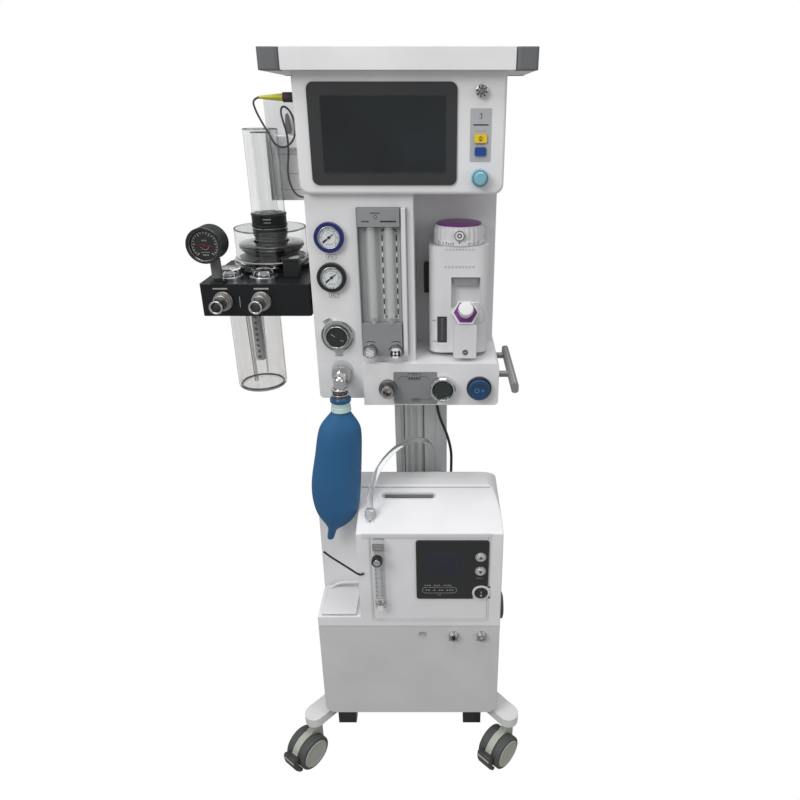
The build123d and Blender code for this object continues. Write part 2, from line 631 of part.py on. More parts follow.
SENSOR_ROUTE = (
    (PLUG_TIP_X, SENSOR_Y, PLUG_Z), (-184, -58, 1353), (-180, -59, 1336), (-170, -60, 1316),
    (-160, -62, 1299), (-152, -64, 1283), (-137, -60, 1278), (-125, -50, 1287),
    (-121, -38, 1302), (-123, -30, 1317), (-127, -27, 1330), (-133, -31, 1340),
    (-139, -40, 1343), (-141, -49, 1336), (-138, -55, 1323), (-132, -55, 1301),
    (-133, -50, 1272), (-138, -48, 1245), (-137, -48, 1219), (-127, -48, 1200),
    (-112, -48, 1196), (PANEL_X[0], -48, 1196))


def corner_radii(route, largest_share=0.45):
    """Radius of the arc at each inner point of a route."""
    points = [Vector(*point) for point in route]
    radii = []
    for before, here, after in zip(points, points[1:], points[2:]):
        turn = (here - before).get_angle(after - here)
        shorter = min((here - before).length, (after - here).length)
        radii.append(largest_share * shorter / tan(radians(turn / 2)))
    return radii


def cord(name, route, diameter):
    """Round cord swept along straight runs joined by tangent arcs."""
    radii = corner_radii(route)
    with BuildPart() as tube:
        with BuildLine():
            wire = FilletPolyline(*route, radius=radii)
        with BuildSketch(Plane(origin=wire @ 0, z_dir=wire % 0)) as section:
            Circle(diameter / 2)
        sweep(section.sketch, path=wire)
    length = wire.length
    expected = pi * diameter ** 2 / 4 * length
    print(name, "length", round(length, 1), "volume ratio",
          round(tube.part.volume / expected, 4),
          "radii", [round(radius, 1) for radius in radii])
    save(tube, name)


def sensor_plug():
    with BuildPart() as plug:
        with BuildSketch(side(MID - MONITOR_HALF - 28)) as collar:
            with Locations((SENSOR_Y, PLUG_Z)):
                Circle(6.8)
        extrude(collar.sketch, amount=22)
        with BuildSketch(Plane.XZ) as cone:
            with BuildLine():
                Polyline((PLUG_TIP_X, 0), (PLUG_TIP_X, 2.4), (MID - MONITOR_HALF - 28, 6),
                         (MID - MONITOR_HALF - 28, 0), close=True)
            make_face()
    nose = revolve(cone.sketch, axis=Axis.X, mode=Mode.PRIVATE)
    plug.part = plug.part + nose.moved(Location((0, SENSOR_Y, PLUG_Z)))
    save(plug, "sensor_plug")


for corner_name, stem_x, stem_y, turn, has_pedal in (
        ("front_left", MID - STEM_DX, STEM_FRONT_Y, 38, True),
        ("front_right", MID + STEM_DX, STEM_FRONT_Y, 44, True),
        ("rear_left", MID - STEM_DX, STEM_REAR_Y, 0, False),
        ("rear_right", MID + STEM_DX, STEM_REAR_Y, 0, False)):
    castor(corner_name, stem_x, stem_y, turn, has_pedal)
base_frame()
column()
cabinet()
upper_body()
gauges()
flowmeter()
controls()
breathing_block()
breathing_bag()
vaporizer()
concentrator_controls()
sensor_plug()
cord("gas_hose", HOSE_ROUTE, HOSE_DIAMETER)
cord("power_cord", CORD_ROUTE, CORD_DIAMETER)
cord("sensor_cable", SENSOR_ROUTE, SENSOR_DIAMETER)
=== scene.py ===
"""The looks of a trolley anesthesia machine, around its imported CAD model.

Scenery and cords are given in metres, and the pieces in millimetres.
"""
import json
from math import cos, pi, radians, sin

import bmesh
import bpy
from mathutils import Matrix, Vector


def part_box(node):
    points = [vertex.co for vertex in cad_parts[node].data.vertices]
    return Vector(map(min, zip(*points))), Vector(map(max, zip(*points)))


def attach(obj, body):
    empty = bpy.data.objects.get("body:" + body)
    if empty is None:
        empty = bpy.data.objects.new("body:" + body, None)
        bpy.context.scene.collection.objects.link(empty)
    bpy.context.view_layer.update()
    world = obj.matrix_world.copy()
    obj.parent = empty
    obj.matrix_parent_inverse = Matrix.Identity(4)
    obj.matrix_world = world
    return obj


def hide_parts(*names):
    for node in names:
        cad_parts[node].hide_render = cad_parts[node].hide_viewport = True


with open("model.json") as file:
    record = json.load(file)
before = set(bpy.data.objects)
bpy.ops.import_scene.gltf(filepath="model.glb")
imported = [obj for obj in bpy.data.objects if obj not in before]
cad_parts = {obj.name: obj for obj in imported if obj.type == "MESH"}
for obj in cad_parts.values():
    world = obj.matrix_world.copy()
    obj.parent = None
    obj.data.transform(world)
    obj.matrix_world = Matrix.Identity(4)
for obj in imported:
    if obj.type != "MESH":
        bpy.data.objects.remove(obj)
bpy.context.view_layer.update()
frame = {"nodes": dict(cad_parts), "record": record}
NODES = frame["nodes"]
MM = 0.001
MOUNTS = {mount["name"]: Vector(mount["pos_m"]) / MM for mount in frame["record"]["mounts"]}
ROOT = "machine"


# ------------------------------------------------------------------ camera
CAMERA_HEIGHT = 1.340
CAMERA_BACK = -1.235
CAMERA_X = 0.125
CAMERA_PITCH = 24.2
CAMERA_LENS = 29.25

camera_data = bpy.data.cameras.new("camera")
camera_data.lens = CAMERA_LENS
camera_data.sensor_width = 36
camera_data.shift_x = -0.05
camera = bpy.data.objects.new("camera", camera_data)
camera.location = (CAMERA_X, CAMERA_BACK, CAMERA_HEIGHT)
camera.rotation_euler = (radians(90 - CAMERA_PITCH), 0, 0)
bpy.context.scene.collection.objects.link(camera)
bpy.context.scene.camera = camera


# --------------------------------------------------------------- materials
def new_material(name):
    material = bpy.data.materials.new(name)
    material.use_nodes = True
    return material, material.node_tree, material.node_tree.nodes["Principled BSDF"]


def add(tree, kind, **values):
    """New shader node, with values on its inputs; an underscore stands for a space."""
    node = tree.nodes.new("ShaderNode" + kind)
    for label, value in values.items():
        node.inputs[label.replace("_", " ")].default_value = value
    return node


def object_noise(tree, scale, detail=3.0):
    place = add(tree, "TexCoord")
    noise = add(tree, "TexNoise", Scale=scale, Detail=detail)
    tree.links.new(place.outputs["Object"], noise.inputs["Vector"])
    return noise.outputs["Fac"]


def height_above_floor(tree):
    place = add(tree, "TexCoord")
    axes = add(tree, "SeparateXYZ")
    tree.links.new(place.outputs["Object"], axes.inputs["Vector"])
    return axes.outputs["Z"]


def mixed_colour(tree, factor, low, high):
    ramp = add(tree, "ValToRGB")
    for element, place, colour in zip(ramp.color_ramp.elements, (0.3, 0.7), (low, high)):
        element.position = place
        element.color = (*colour, 1)
    tree.links.new(factor, ramp.inputs["Fac"])
    return ramp.outputs["Color"]


def uneven_polish(tree, shader, factor, low, high):
    polish = add(tree, "MapRange", To_Min=low, To_Max=high)
    tree.links.new(factor, polish.inputs["Value"])
    tree.links.new(polish.outputs["Result"], shader.inputs["Roughness"])


def relief(tree, shader, factor, strength, distance):
    bump = add(tree, "Bump", Strength=strength, Distance=distance)
    tree.links.new(factor, bump.inputs["Height"])
    tree.links.new(bump.outputs["Normal"], shader.inputs["Normal"])
    return bump


def surface(name, colour, roughness=0.4, metallic=0.0, grain=900.0, grain_height=0.06, mottling=0.04,
    edge=0.0008, coat=0.0):
    """Moulded or painted surface: faint mottling, fine grain and softened edges."""
    material, tree, shader = new_material(name)
    blotches = object_noise(tree, 9.0)
    low = [max(0, part * (1 - mottling)) for part in colour]
    high = [min(1, part * (1 + mottling)) for part in colour]
    tree.links.new(mixed_colour(tree, blotches, low, high), shader.inputs["Base Color"])
    uneven_polish(tree, shader, blotches, roughness * 0.85, min(1, roughness * 1.15))
    shader.inputs["Metallic"].default_value = metallic
    shader.inputs["Coat Weight"].default_value = coat
    bump = relief(tree, shader, object_noise(tree, grain, 2.0), grain_height, 0.0004)
    if edge:
        soft = add(tree, "Bevel", Radius=edge)
        soft.samples = 4
        tree.links.new(soft.outputs["Normal"], bump.inputs["Normal"])
    return material


def clear_plastic(name, colour, roughness, ior):
    material, tree, shader = new_material(name)
    shader.inputs["Base Color"].default_value = (*colour, 1)
    shader.inputs["Transmission Weight"].default_value = 1.0
    shader.inputs["IOR"].default_value = ior
    waves = object_noise(tree, 25.0)
    uneven_polish(tree, shader, waves, roughness * 0.5, roughness * 1.5)
    relief(tree, shader, waves, 0.02, 0.0003)
    return material


def split_by_height(name, height, above, below, roughness):
    """One node whose upper and lower parts are moulded in two colours."""
    material = surface(name, above, roughness)
    tree = material.node_tree
    higher = add(tree, "Math")
    higher.operation = "GREATER_THAN"
    higher.inputs[1].default_value = height
    tree.links.new(height_above_floor(tree), higher.inputs[0])
    tree.links.new(mixed_colour(tree, higher.outputs["Value"], below, above),
        tree.nodes["Principled BSDF"].inputs["Base Color"])
    return material


RAMP_HEIGHT = 1.5


def banded(name, bands, roughness):
    """Fittings of one node coloured by the height they stand at."""
    material = surface(name, bands[0][1], roughness)
    tree = material.node_tree
    scale = add(tree, "Math")
    scale.operation = "DIVIDE"
    scale.inputs[1].default_value = RAMP_HEIGHT
    ramp = add(tree, "ValToRGB")
    ramp.color_ramp.interpolation = "CONSTANT"
    ramp.color_ramp.elements[0].color = (*bands[0][1], 1)
    ramp.color_ramp.elements[1].position = bands[-1][0] / RAMP_HEIGHT
    ramp.color_ramp.elements[1].color = (*bands[-1][1], 1)
    for height, colour in bands[1:-1]:
        ramp.color_ramp.elements.new(height / RAMP_HEIGHT).color = (*colour, 1)
    tree.links.new(height_above_floor(tree), scale.inputs[0])
    tree.links.new(scale.outputs["Value"], ramp.inputs["Fac"])
    tree.links.new(ramp.outputs["Color"], tree.nodes["Principled BSDF"].inputs["Base Color"])
    return material


def ink(name, colour, roughness=0.5):
    return surface(name, colour, roughness, edge=0)


NEAR_BLACK = (0.012, 0.013, 0.014)
STEEL_COLOUR = (0.5, 0.49, 0.47)
WHITE = surface("white_powder_coat", (0.78, 0.78, 0.79), 0.38, grain=700, coat=0.1)
WHITE_PLASTIC = surface("white_plastic", (0.74, 0.74, 0.755), 0.42, grain=1400)
CABINET_WHITE = surface("cabinet_white", (0.86, 0.86, 0.875), 0.42, grain=1400, edge=0.004)
LOWER_GREY = surface("cabinet_grey", (0.68, 0.675, 0.68), 0.45, grain=1200)
GREY = surface("grey_plastic", (0.13, 0.135, 0.14), 0.5, grain=1500)
CORNER_GREY = surface("tray_corner_grey", (0.13, 0.135, 0.14), 0.5, grain=1500, edge=0.003)
PLATE_GREY = surface("plate_grey", (0.26, 0.27, 0.28), 0.42, grain=1500)
LIGHT_GREY = surface("light_grey", (0.5, 0.51, 0.52), 0.45)
BLACK = surface("black_plastic", NEAR_BLACK, 0.42, grain=1800, grain_height=0.1)
ANODISED = surface("black_anodised", (0.014, 0.016, 0.018), 0.34, 0.4, grain=2500)
BLACK_GLASS = surface("black_glass", NEAR_BLACK, 0.12, grain=40, grain_height=0.01, coat=0.5)
BEZEL = surface("bezel_grey", (0.032, 0.033, 0.035), 0.3, grain=40, grain_height=0.01, coat=0.3)
SCREEN = surface("dark_display", (0.005, 0.009, 0.011), 0.16, grain=30, grain_height=0.01, mottling=0.5,
    coat=0.6)
LCD = surface("dark_blue_lcd", (0.012, 0.014, 0.03), 0.2, grain=30, grain_height=0.01, mottling=0.4,
    coat=0.4)
CHROME = surface("chrome", (0.72, 0.72, 0.73), 0.12, 1.0, grain=300, grain_height=0.02)
STEEL = surface("satin_steel", STEEL_COLOUR, 0.3, 1.0, grain=1500, grain_height=0.1)
DARK_STEEL = surface("dark_steel", (0.22, 0.22, 0.22), 0.35, 1.0)
ALUMINIUM = surface("anodised_aluminium", (0.60, 0.61, 0.60), 0.42, 0.25, grain=1800)
RAIL_GREY = surface("rail_grey", (0.27, 0.26, 0.26), 0.4, 0.2)
TYRE = surface("tyre_grey", (0.075, 0.08, 0.08), 0.6, grain=900, grain_height=0.15)
OLIVE = surface("castor_olive", (0.46, 0.48, 0.41), 0.5, grain=1300)
RUBBER_BLUE = surface("blue_rubber", (0.018, 0.115, 0.27), 0.55, grain=500, grain_height=0.12,
    mottling=0.08, edge=0)
BLUE = surface("blue_button", (0.006, 0.048, 0.13), 0.3, grain=600, coat=0.3)
DEEP_NAVY = surface("flush_ring", (0.008, 0.012, 0.045), 0.35)
NAVY = surface("navy_ring", (0.012, 0.02, 0.12), 0.35)
KEY_BLUE = surface("blue_key", (0.01, 0.06, 0.27))
YELLOW = surface("yellow_key", (0.8, 0.55, 0.02))
PLUG_YELLOW = surface("yellow_plug", (0.5, 0.48, 0.02), 0.38)
SKY = surface("light_blue_knob", (0.13, 0.36, 0.48), 0.3, coat=0.3)
PURPLE = surface("purple_plastic", (0.17, 0.025, 0.2), 0.3)
MINT = surface("mint_collar", (0.55, 0.72, 0.68))
BROWN = surface("brown_collar", (0.055, 0.035, 0.035), 0.5)
FLOAT_DARK = surface("float_dark", (0.045, 0.022, 0.020), 0.3)
PEDAL = surface("pedal_grey", (0.055, 0.056, 0.056), 0.45)
RED = surface("dark_red", (0.30, 0.012, 0.012), 0.35)
# Black print and small black parts; also the painted shadow line on the flowmeter and the painted shade in the
# port bores.
MARKS = ink("black_print_and_painted_shade", (0.015, 0.015, 0.016))
WHITE_MARKS = ink("printed_white", (0.85, 0.85, 0.85))
# Grey print; also the painted shade arc over the small port on the cabinet.
GREY_MARKS = ink("grey_print_and_painted_shade", (0.3, 0.3, 0.31))
DIAL_FACE = ink("dial_face", (0.66, 0.7, 0.72), 0.45)
CABLE = ink("cable_grey", (0.06, 0.06, 0.065))
LIME = surface("absorbent_granules", (0.42, 0.42, 0.42), 0.8, grain=260, grain_height=1.0, mottling=0.3,
    edge=0)
KEY_PLATE = ink("key_plate_grey", (0.44, 0.45, 0.47), 0.45)
PALE_SKY = surface("pale_blue_cap", (0.22, 0.46, 0.56), 0.28, coat=0.3)
PALE_METAL = surface("pale_metal", (0.52, 0.54, 0.53), 0.32, 0.6)
DARK_FACE = surface("dark_knob_face", (0.035, 0.042, 0.040), 0.3, 0.3)
GREEN_BLACK = surface("green_black_face", (0.020, 0.032, 0.028), 0.2, coat=0.4)
METER_BACK = ink("meter_backing", (0.40, 0.41, 0.41), 0.4)
DIAGRAM_GREY = ink("diagram_grey", (0.24, 0.245, 0.25), 0.45)
KEY_PRINT_BLUE = ink("button_print", (0.10, 0.32, 0.55), 0.4)
KEY_RING_BLUE = surface("bag_ring_blue", (0.015, 0.085, 0.20))
FAINT_MARKS = ink("faint_print", (0.52, 0.51, 0.51))
# Painted shade: grey for the inside of the handle slot and the top wall of the filler recess.
RECESS_SHADE_GREY = surface("recess_shade_grey", (0.30, 0.30, 0.305), 0.5)
SHADE_GREY = surface("shade_grey", (0.10, 0.10, 0.105), 0.5)
# Grey for seam lines; also the painted shade in the cabinet's shadow gap and along its crease.
SEAM_AND_SHADE_GREY = ink("seam_and_shade_grey", (0.36, 0.36, 0.37))
SIGHT_DARK = surface("sight_glass_dark", (0.045, 0.048, 0.05), 0.15, coat=0.5)
SILVER_PAINT = surface("silver_paint", (0.62, 0.62, 0.63), 0.28, 0.35)
COVER_GREY = surface("column_cover_grey", (0.60, 0.61, 0.615), 0.4, 0.1)
CLEAR_TINT = clear_plastic("clear_moulding", (0.80, 0.82, 0.83), 0.08, 1.35)
DARK_CLEAR = clear_plastic("smoked_clear", (0.45, 0.46, 0.47), 0.08, 1.3)
CLEAR = clear_plastic("clear_acrylic", (0.91, 0.915, 0.915), 0.03, 1.45)
FLOW_CLEAR = surface("flow_tube_glass", (0.80, 0.82, 0.82), 0.08, grain=60, grain_height=0.02, edge=0)
FLOW_CLEAR.node_tree.nodes["Principled BSDF"].inputs["Alpha"].default_value = 0.22
CANISTER_CLEAR = clear_plastic("canister_acrylic", (0.80, 0.795, 0.79), 0.04, 1.45)
HOSE = clear_plastic("clear_hose", (0.9, 0.92, 0.92), 0.18, 1.25)
FITTINGS = banded("feet_and_sockets", ((0.0, NEAR_BLACK), (0.32, STEEL_COLOUR), (0.38, NEAR_BLACK),
    (0.56, (0.62, 0.63, 0.63)), (0.70, NEAR_BLACK), (1.34, (0.055, 0.035, 0.035))), 0.4)
GAUGE_RINGS = split_by_height("gauge_rings", 1.105, (0.012, 0.02, 0.13), (0.015, 0.016, 0.017), 0.35)

CORNERS = {"front_left": 38, "front_right": 44, "rear_left": 0, "rear_right": 0}
FINISHES = {
    WHITE: ("base_frame", "upper_body", "gauge_panel", "control_bar", "monitor_housing", "tray"),
    CABINET_WHITE: ("cabinet_shell",),
    WHITE_PLASTIC: ("vaporizer_body", "vaporizer_filler"),
    LOWER_GREY: ("cabinet_lower_panel",),
    CORNER_GREY: ("tray_corners",),
    PLATE_GREY: ("flowmeter_block",),
    BLACK: ("manometer", "bellows_plate"),
    FITTINGS: ("feet_and_sockets",),
    ANODISED: ("breathing_block",),
    BLACK_GLASS: ("display_panel",),
    BEZEL: ("screen_bezel",),
    CLEAR: ("clear_covers",),
    FLOW_CLEAR: ("flow_tubes",),
    CANISTER_CLEAR: ("absorber_canister",),
    STEEL: ("port_fittings", "compressor_and_sieve_tanks", "up_button", "down_button"),
    CHROME: ("power_button", "outlet_float"),
    ALUMINIUM: ("column",),
    RAIL_GREY: ("side_rail",),
    GAUGE_RINGS: ("panel_gauges",),
    KEY_BLUE: ("blue_key",),
    YELLOW: ("yellow_key",),
    PLUG_YELLOW: ("sensor_plug",),
    RED: ("manometer_needle",),
    FLOAT_DARK: ("oxygen_float", "air_float"),
    OLIVE: [f"castor_{corner}" for corner in CORNERS],
    TYRE: [f"wheels_{corner}" for corner in CORNERS],
}
for finish, names in FINISHES.items():
    for node_name in names:
        mesh = NODES[node_name].data
        mesh.materials.clear()
        mesh.materials.append(finish)


# ------------------------------------------------------------- mesh helpers
def finish_piece(name, data, material, body=ROOT, replaces=(), bevel=0.0, smooth=35):
    piece = bpy.data.objects.new(name, data)
    bpy.context.scene.collection.objects.link(piece)
    data.materials.append(material)
    if isinstance(data, bpy.types.Mesh):
        data.polygons.foreach_set("use_smooth", [True] * len(data.polygons))
        data.set_sharp_from_angle(angle=radians(smooth))
    if bevel:
        softened = piece.modifiers.new("edges", "BEVEL")
        softened.width = bevel * MM
        softened.segments = 2
        softened.limit_method = "ANGLE"
    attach(piece, body)
    if replaces:
        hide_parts(*replaces)
    return piece


def solid(name, points, faces, material, body=ROOT, **more):
    return finish_piece(name, mesh_from(name, points, faces), material, body, **more)


def mesh_from(name, points, faces):
    data = bpy.data.meshes.new(name)
    data.from_pydata([tuple(Vector(point) * MM) for point in points], [], faces)
    data.validate()
    shape = bmesh.new()
    shape.from_mesh(data)
    bmesh.ops.remove_doubles(shape, verts=shape.verts, dist=1e-7)
    bmesh.ops.recalc_face_normals(shape, faces=shape.faces)
    shape.to_mesh(data)
    shape.free()
    return data


FILLER_TILT = radians(35)
AXES = {
    "Y": (Vector((1, 0, 0)), Vector((0, 0, 1)), Vector((0, -1, 0))),
    "Z": (Vector((1, 0, 0)), Vector((0, 1, 0)), Vector((0, 0, 1))),
    "X": (Vector((0, 1, 0)), Vector((0, 0, 1)), Vector((1, 0, 0))),
    "filler": (Vector((1, 0, 0)), Vector((0, sin(FILLER_TILT), cos(FILLER_TILT))),
        Vector((0, -cos(FILLER_TILT), sin(FILLER_TILT)))),
}


def strips(rows, count):
    """Faces between rings of so many points each, one ring after another."""
    faces = []
    for row in range(rows - 1):
        for step in range(count):
            here, after = row * count + step, row * count + (step + 1) % count
            faces.append((here, after, after + count, here + count))
    return faces


def lid(row, count):
    return list(range(row * count, (row + 1) * count))


def lathe(name, profile, centre, axis, material, body=ROOT, steps=64, flutes=(0, 0, ()), **more):
    """Profile of (radius, height) turned about an axis; Y points towards the user.
    Flutes are given by how many go round, how deep they are and which rows have them."""
    right, up, along = AXES[axis]
    count, depth, fluted = flutes
    points = []
    for row, (radius, height) in enumerate(profile):
        for step in range(steps):
            angle = 2 * pi * step / steps
            flute = 1 - depth * (0.5 + 0.5 * cos(count * angle)) if row in fluted else 1
            points.append(Vector(centre) + along * height + (right * cos(angle)
                + up * sin(angle)) * radius * flute)
    faces = strips(len(profile), steps)
    if profile[0] != profile[-1]:
        faces += [lid(row, steps) for row in (0, len(profile) - 1) if profile[row][0] > 0]
    return solid(name, points, faces, material, body, **more)


def round_outline(width, height, radius, steps=6):
    corners = ((1, 1, 0), (-1, 1, 90), (-1, -1, 180), (1, -1, 270))
    outline = []
    for sx, sy, start in corners:
        for step in range(steps + 1):
            angle = radians(start + 90 * step / steps)
            outline.append((sx * (width / 2 - radius) + radius * cos(angle),
                sy * (height / 2 - radius) + radius * sin(angle)))
    return outline


def plate(name, x, z, outline, back, out, material, body=ROOT, bevel=0.2, **more):
    """Flat piece on a front face: an outline of (x, z) offsets that stands out towards -Y."""
    points = [(x + dx, y, z + dz) for y in (back, back - out) for dx, dz in outline]
    count = len(outline)
    faces = strips(2, count) + [lid(0, count), lid(1, count)]
    return solid(name, points, faces, material, body, bevel=bevel, **more)


def tile(name, x, z, size, *more, **others):
    """Plate with an outline of width, height and corner radius."""
    return plate(name, x, z, round_outline(*size), *more, **others)


def frame_ring(name, x, z, size, radius, width, back, out, material, body=ROOT):
    """Raised outline of a rounded rectangle."""
    outer = round_outline(size[0], size[1], radius)
    inner = round_outline(size[0] - 2 * width, size[1] - 2 * width, max(radius - width, 0.1))
    points = []
    for outline, y in ((outer, back), (outer, back - out), (inner, back - out), (inner, back),
        (outer, back)):
        points += [(x + dx, y, z + dz) for dx, dz in outline]
    return solid(name, points, strips(5, len(outer)), material, body)


def slabs(name, points, material, body=ROOT):
    """Small blocks in one piece, each from eight points: four low and four high."""
    faces = []
    for base in range(0, len(points), 8):
        for face in ((0, 1, 2, 3), (4, 5, 6, 7), (0, 1, 5, 4), (1, 2, 6, 5), (2, 3, 7, 6),
            (3, 0, 4, 7)):
            faces.append([base + corner for corner in face])
    return solid(name, points, faces, material, body)


QUAD = ((-1, -1), (1, -1), (1, 1), (-1, 1))


def bars(name, items, back, out, material, body=ROOT):
    """Many small flat bars in one piece: (x, z, length, width, angle in degrees)."""
    points = []
    for x, z, length, width, angle in items:
        turn = radians(angle)
        along = Vector((cos(turn), 0, sin(turn))) * length / 2
        across = Vector((-sin(turn), 0, cos(turn))) * width / 2
        points += [Vector((x, y, z)) + along * sa + across * sc
            for y in (back, back - out) for sa, sc in QUAD]
    return slabs(name, points, material, body)


def row(count, x, pitch, z, length, width, angle=0):
    """So many bars side by side, as rows for bars()."""
    return [(x + pitch * index, z, length, width, angle) for index in range(count)]


def wire(name, points, radius, material, body=ROOT, unit=MM):
    """Round line: straight between two points, smooth along more. A unit is so many metres."""
    smooth_path = len(points) > 2
    data = bpy.data.curves.new(name, "CURVE")
    data.dimensions = "3D"
    data.bevel_depth = radius * unit
    data.bevel_resolution = 4
    data.resolution_u = 10
    data.use_fill_caps = True
    spline = data.splines.new("NURBS" if smooth_path else "POLY")
    spline.points.add(len(points) - 1)
    for point, place in zip(spline.points, points):
        point.co = (*(Vector(place) * unit), 1)
    if smooth_path:
        spline.order_u = 3
        spline.use_endpoint_u = True
    return finish_piece(name, data, material, body)


def centre(node):
    low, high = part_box(node)
    return (low + high) / 2 / MM


# -------------------------------------------------------------------- cords
HOSE_ROUTE = ((-0.011, -0.170, 0.626), (-0.011, -0.168, 0.655), (-0.005, -0.158, 0.682),
    (0.008, -0.137, 0.706), (0.029, -0.110, 0.722), (0.054, -0.077, 0.727), (0.079, -0.042, 0.717),
    (0.099, -0.012, 0.693), (0.108, 0.003, 0.662), (0.108, 0.006, 0.634), (0.108, 0.006, 0.606))
CORD_ROUTE = ((0.117, 0.008, 0.805), (0.1175, 0.008, 0.775), (0.124, 0.009, 0.740),
    (0.140, 0.012, 0.700), (0.150, 0.018, 0.655), (0.150, 0.029, 0.610), (0.150, 0.045, 0.568),
    (0.156, 0.061, 0.532), (0.165, 0.071, 0.503), (0.173, 0.076, 0.480), (0.178, 0.075, 0.460),
    (0.180, 0.069, 0.446), (0.1805, 0.059, 0.436), (0.1802, 0.047, 0.4305), (0.180, 0.034, 0.430))
SENSOR_ROUTE = ((-0.172, -0.058, 1.356), (-0.184, -0.058, 1.353), (-0.180, -0.059, 1.336),
    (-0.170, -0.060, 1.316), (-0.160, -0.062, 1.299), (-0.152, -0.064, 1.283), (-0.137, -0.060, 1.278),
    (-0.125, -0.050, 1.287), (-0.121, -0.038, 1.302), (-0.123, -0.030, 1.317), (-0.127, -0.027, 1.330),
    (-0.133, -0.031, 1.340), (-0.139, -0.040, 1.343), (-0.141, -0.049, 1.336), (-0.138, -0.055, 1.323),
    (-0.132, -0.055, 1.301), (-0.133, -0.050, 1.272), (-0.138, -0.048, 1.245), (-0.137, -0.048, 1.219),
    (-0.127, -0.048, 1.200), (-0.112, -0.048, 1.196), (-0.102, -0.048, 1.196))

gas_hose = wire("clear_gas_hose", HOSE_ROUTE, 0.0057, HOSE, unit=1)
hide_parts("gas_hose")
power_cord = wire("power_lead", CORD_ROUTE, 0.003, BLACK, unit=1)
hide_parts("power_cord")
sensor_cable = wire("sensor_lead", SENSOR_ROUTE, 0.0017, CABLE, unit=1)
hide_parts("sensor_cable")

# ------------------------------------------------------------ breathing bag
BAG_ROWS = (
    # height, centre x, half width, half depth
    (838, -57, 14, 14), (832, -57.5, 16, 15.5),
    (824.5, -58.5, 20.5, 18), (815.8, -59.4, 27.2, 20.5),
    (805, -60.5, 34.5, 23.5), (793.8, -61.7, 39.2, 25.8),
    (770, -64.5, 41.8, 27.5), (739.8, -67.8, 43.2, 28.5),
    (708, -72.5, 45.8, 29), (675.9, -76.5, 47.2, 28.8),
    (650, -78, 46.5, 26.8), (630.1, -78.6, 44, 25.2),
    (615, -79, 40.5, 23.8), (603.4, -79.3, 36.5, 22),
    (592, -79.7, 29, 18.5), (582.9, -81.5, 21.5, 15),
    (575, -86.8, 13, 11), (569.2, -90.5, 8.5, 7.5),
    (556, -94, 7.2, 6.5), (543, -97, 6.8, 5.8))


def bag_section(z, x, half_width, half_depth, steps):
    """Round at the front and back and a little pinched where the two halves are joined."""
    ring = []
    for step in range(steps):
        angle = 2 * pi * step / steps
        seam = 1 + 0.025 * max(0, abs(cos(angle)) - 0.93) / 0.07
        crease = 1 + 0.012 * sin(3 * angle + z * 0.06) * (half_width > 30)
        ring.append((x + half_width * cos(angle) * seam, BAG_Y + half_depth * sin(angle) * crease, z))
    return ring


BAG_Y = centre("breathing_bag").y
BAG_STEPS = 48
bag_points = []
for section in BAG_ROWS:
    bag_points += bag_section(*section, BAG_STEPS)
bag_faces = strips(len(BAG_ROWS), BAG_STEPS) + [lid(0, BAG_STEPS), lid(len(BAG_ROWS) - 1, BAG_STEPS)]
bag = solid("bag_rubber", bag_points, bag_faces, RUBBER_BLUE, "bag", replaces=("breathing_bag",),
    smooth=60)
smoothing = bag.modifiers.new("smooth", "SUBSURF")
smoothing.levels = 1
smoothing.render_levels = 2


# ------------------------------------------------------------ small helpers
def disc(name, x, z, radius, back, out, material, body=ROOT, steps=48, **more):
    return lathe(name, [(radius, 0), (radius, out - 0.3), (radius - 0.3, out)], (x, back, z), "Y",
        material, body, steps, **more)


def ring(name, x, z, outer, inner, back, out, material, body=ROOT, **more):
    """Flat ring on a front face, with its edges eased."""
    ease = min(0.6, out / 3)
    profile = [(inner, 0), (outer, 0), (outer, out - ease), (outer - ease, out), (inner + ease, out),
        (inner, out - ease), (inner, 0)]
    return lathe(name, profile, (x, back, z), "Y", material, body, 64, **more)


def arcs(name, x, z, items, back, out, material, body=ROOT):
    """Parts of flat rings in one piece: (inner, outer, start, end) in degrees."""
    points, faces = [], []
    for inner, outer, start, end in items:
        steps = max(2, int(abs(end - start) / 6))
        for step in range(steps + 1):
            angle = radians(start + (end - start) * step / steps)
            for radius in (inner, outer):
                for y in (back, back - out):
                    points.append((x + radius * cos(angle), y, z + radius * sin(angle)))
        base = len(points) - 4 * (steps + 1)
        for step in range(steps):
            here, after = base + 4 * step, base + 4 * (step + 1)
            faces += [(here, after, after + 2, here + 2), (here + 1, after + 1, after + 3, here + 3),
                (here, after, after + 1, here + 1), (here + 2, after + 2, after + 3, here + 3)]
        for end_base in (base, base + 4 * steps):
            faces.append((end_base, end_base + 1, end_base + 3, end_base + 2))
    return solid(name, points, faces, material, body)


def spokes(x, z, inner, outer, width, angles):
    """Radial marks, as rows for bars()."""
    middle, length = (inner + outer) / 2, outer - inner
    return [(x + middle * cos(radians(a)), z + middle * sin(radians(a)), length, width, a)
        for a in angles]


MON_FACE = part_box("monitor_housing")[0].y / MM
BEZEL_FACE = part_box("screen_bezel")[0].y / MM
PANEL_FACE = -108
METER_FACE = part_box("flowmeter_block")[0].y / MM
BAR_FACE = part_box("control_bar")[0].y / MM
CABINET_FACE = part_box("cabinet_shell")[0].y / MM
DISPLAY_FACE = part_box("display_panel")[0].y / MM
VAPOR_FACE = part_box("vaporizer_body")[0].y / MM
FILLER_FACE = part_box("vaporizer_filler")[0].y / MM + 2
BLOCK_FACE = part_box("breathing_block")[0].y / MM
BLOCK_TOP = 1056
FILLER_X, SIGHT_X = 171, 129
ELBOW_Z = 890
FITTING_Z = 349
STALK_Y = -96
CLOSED = 359

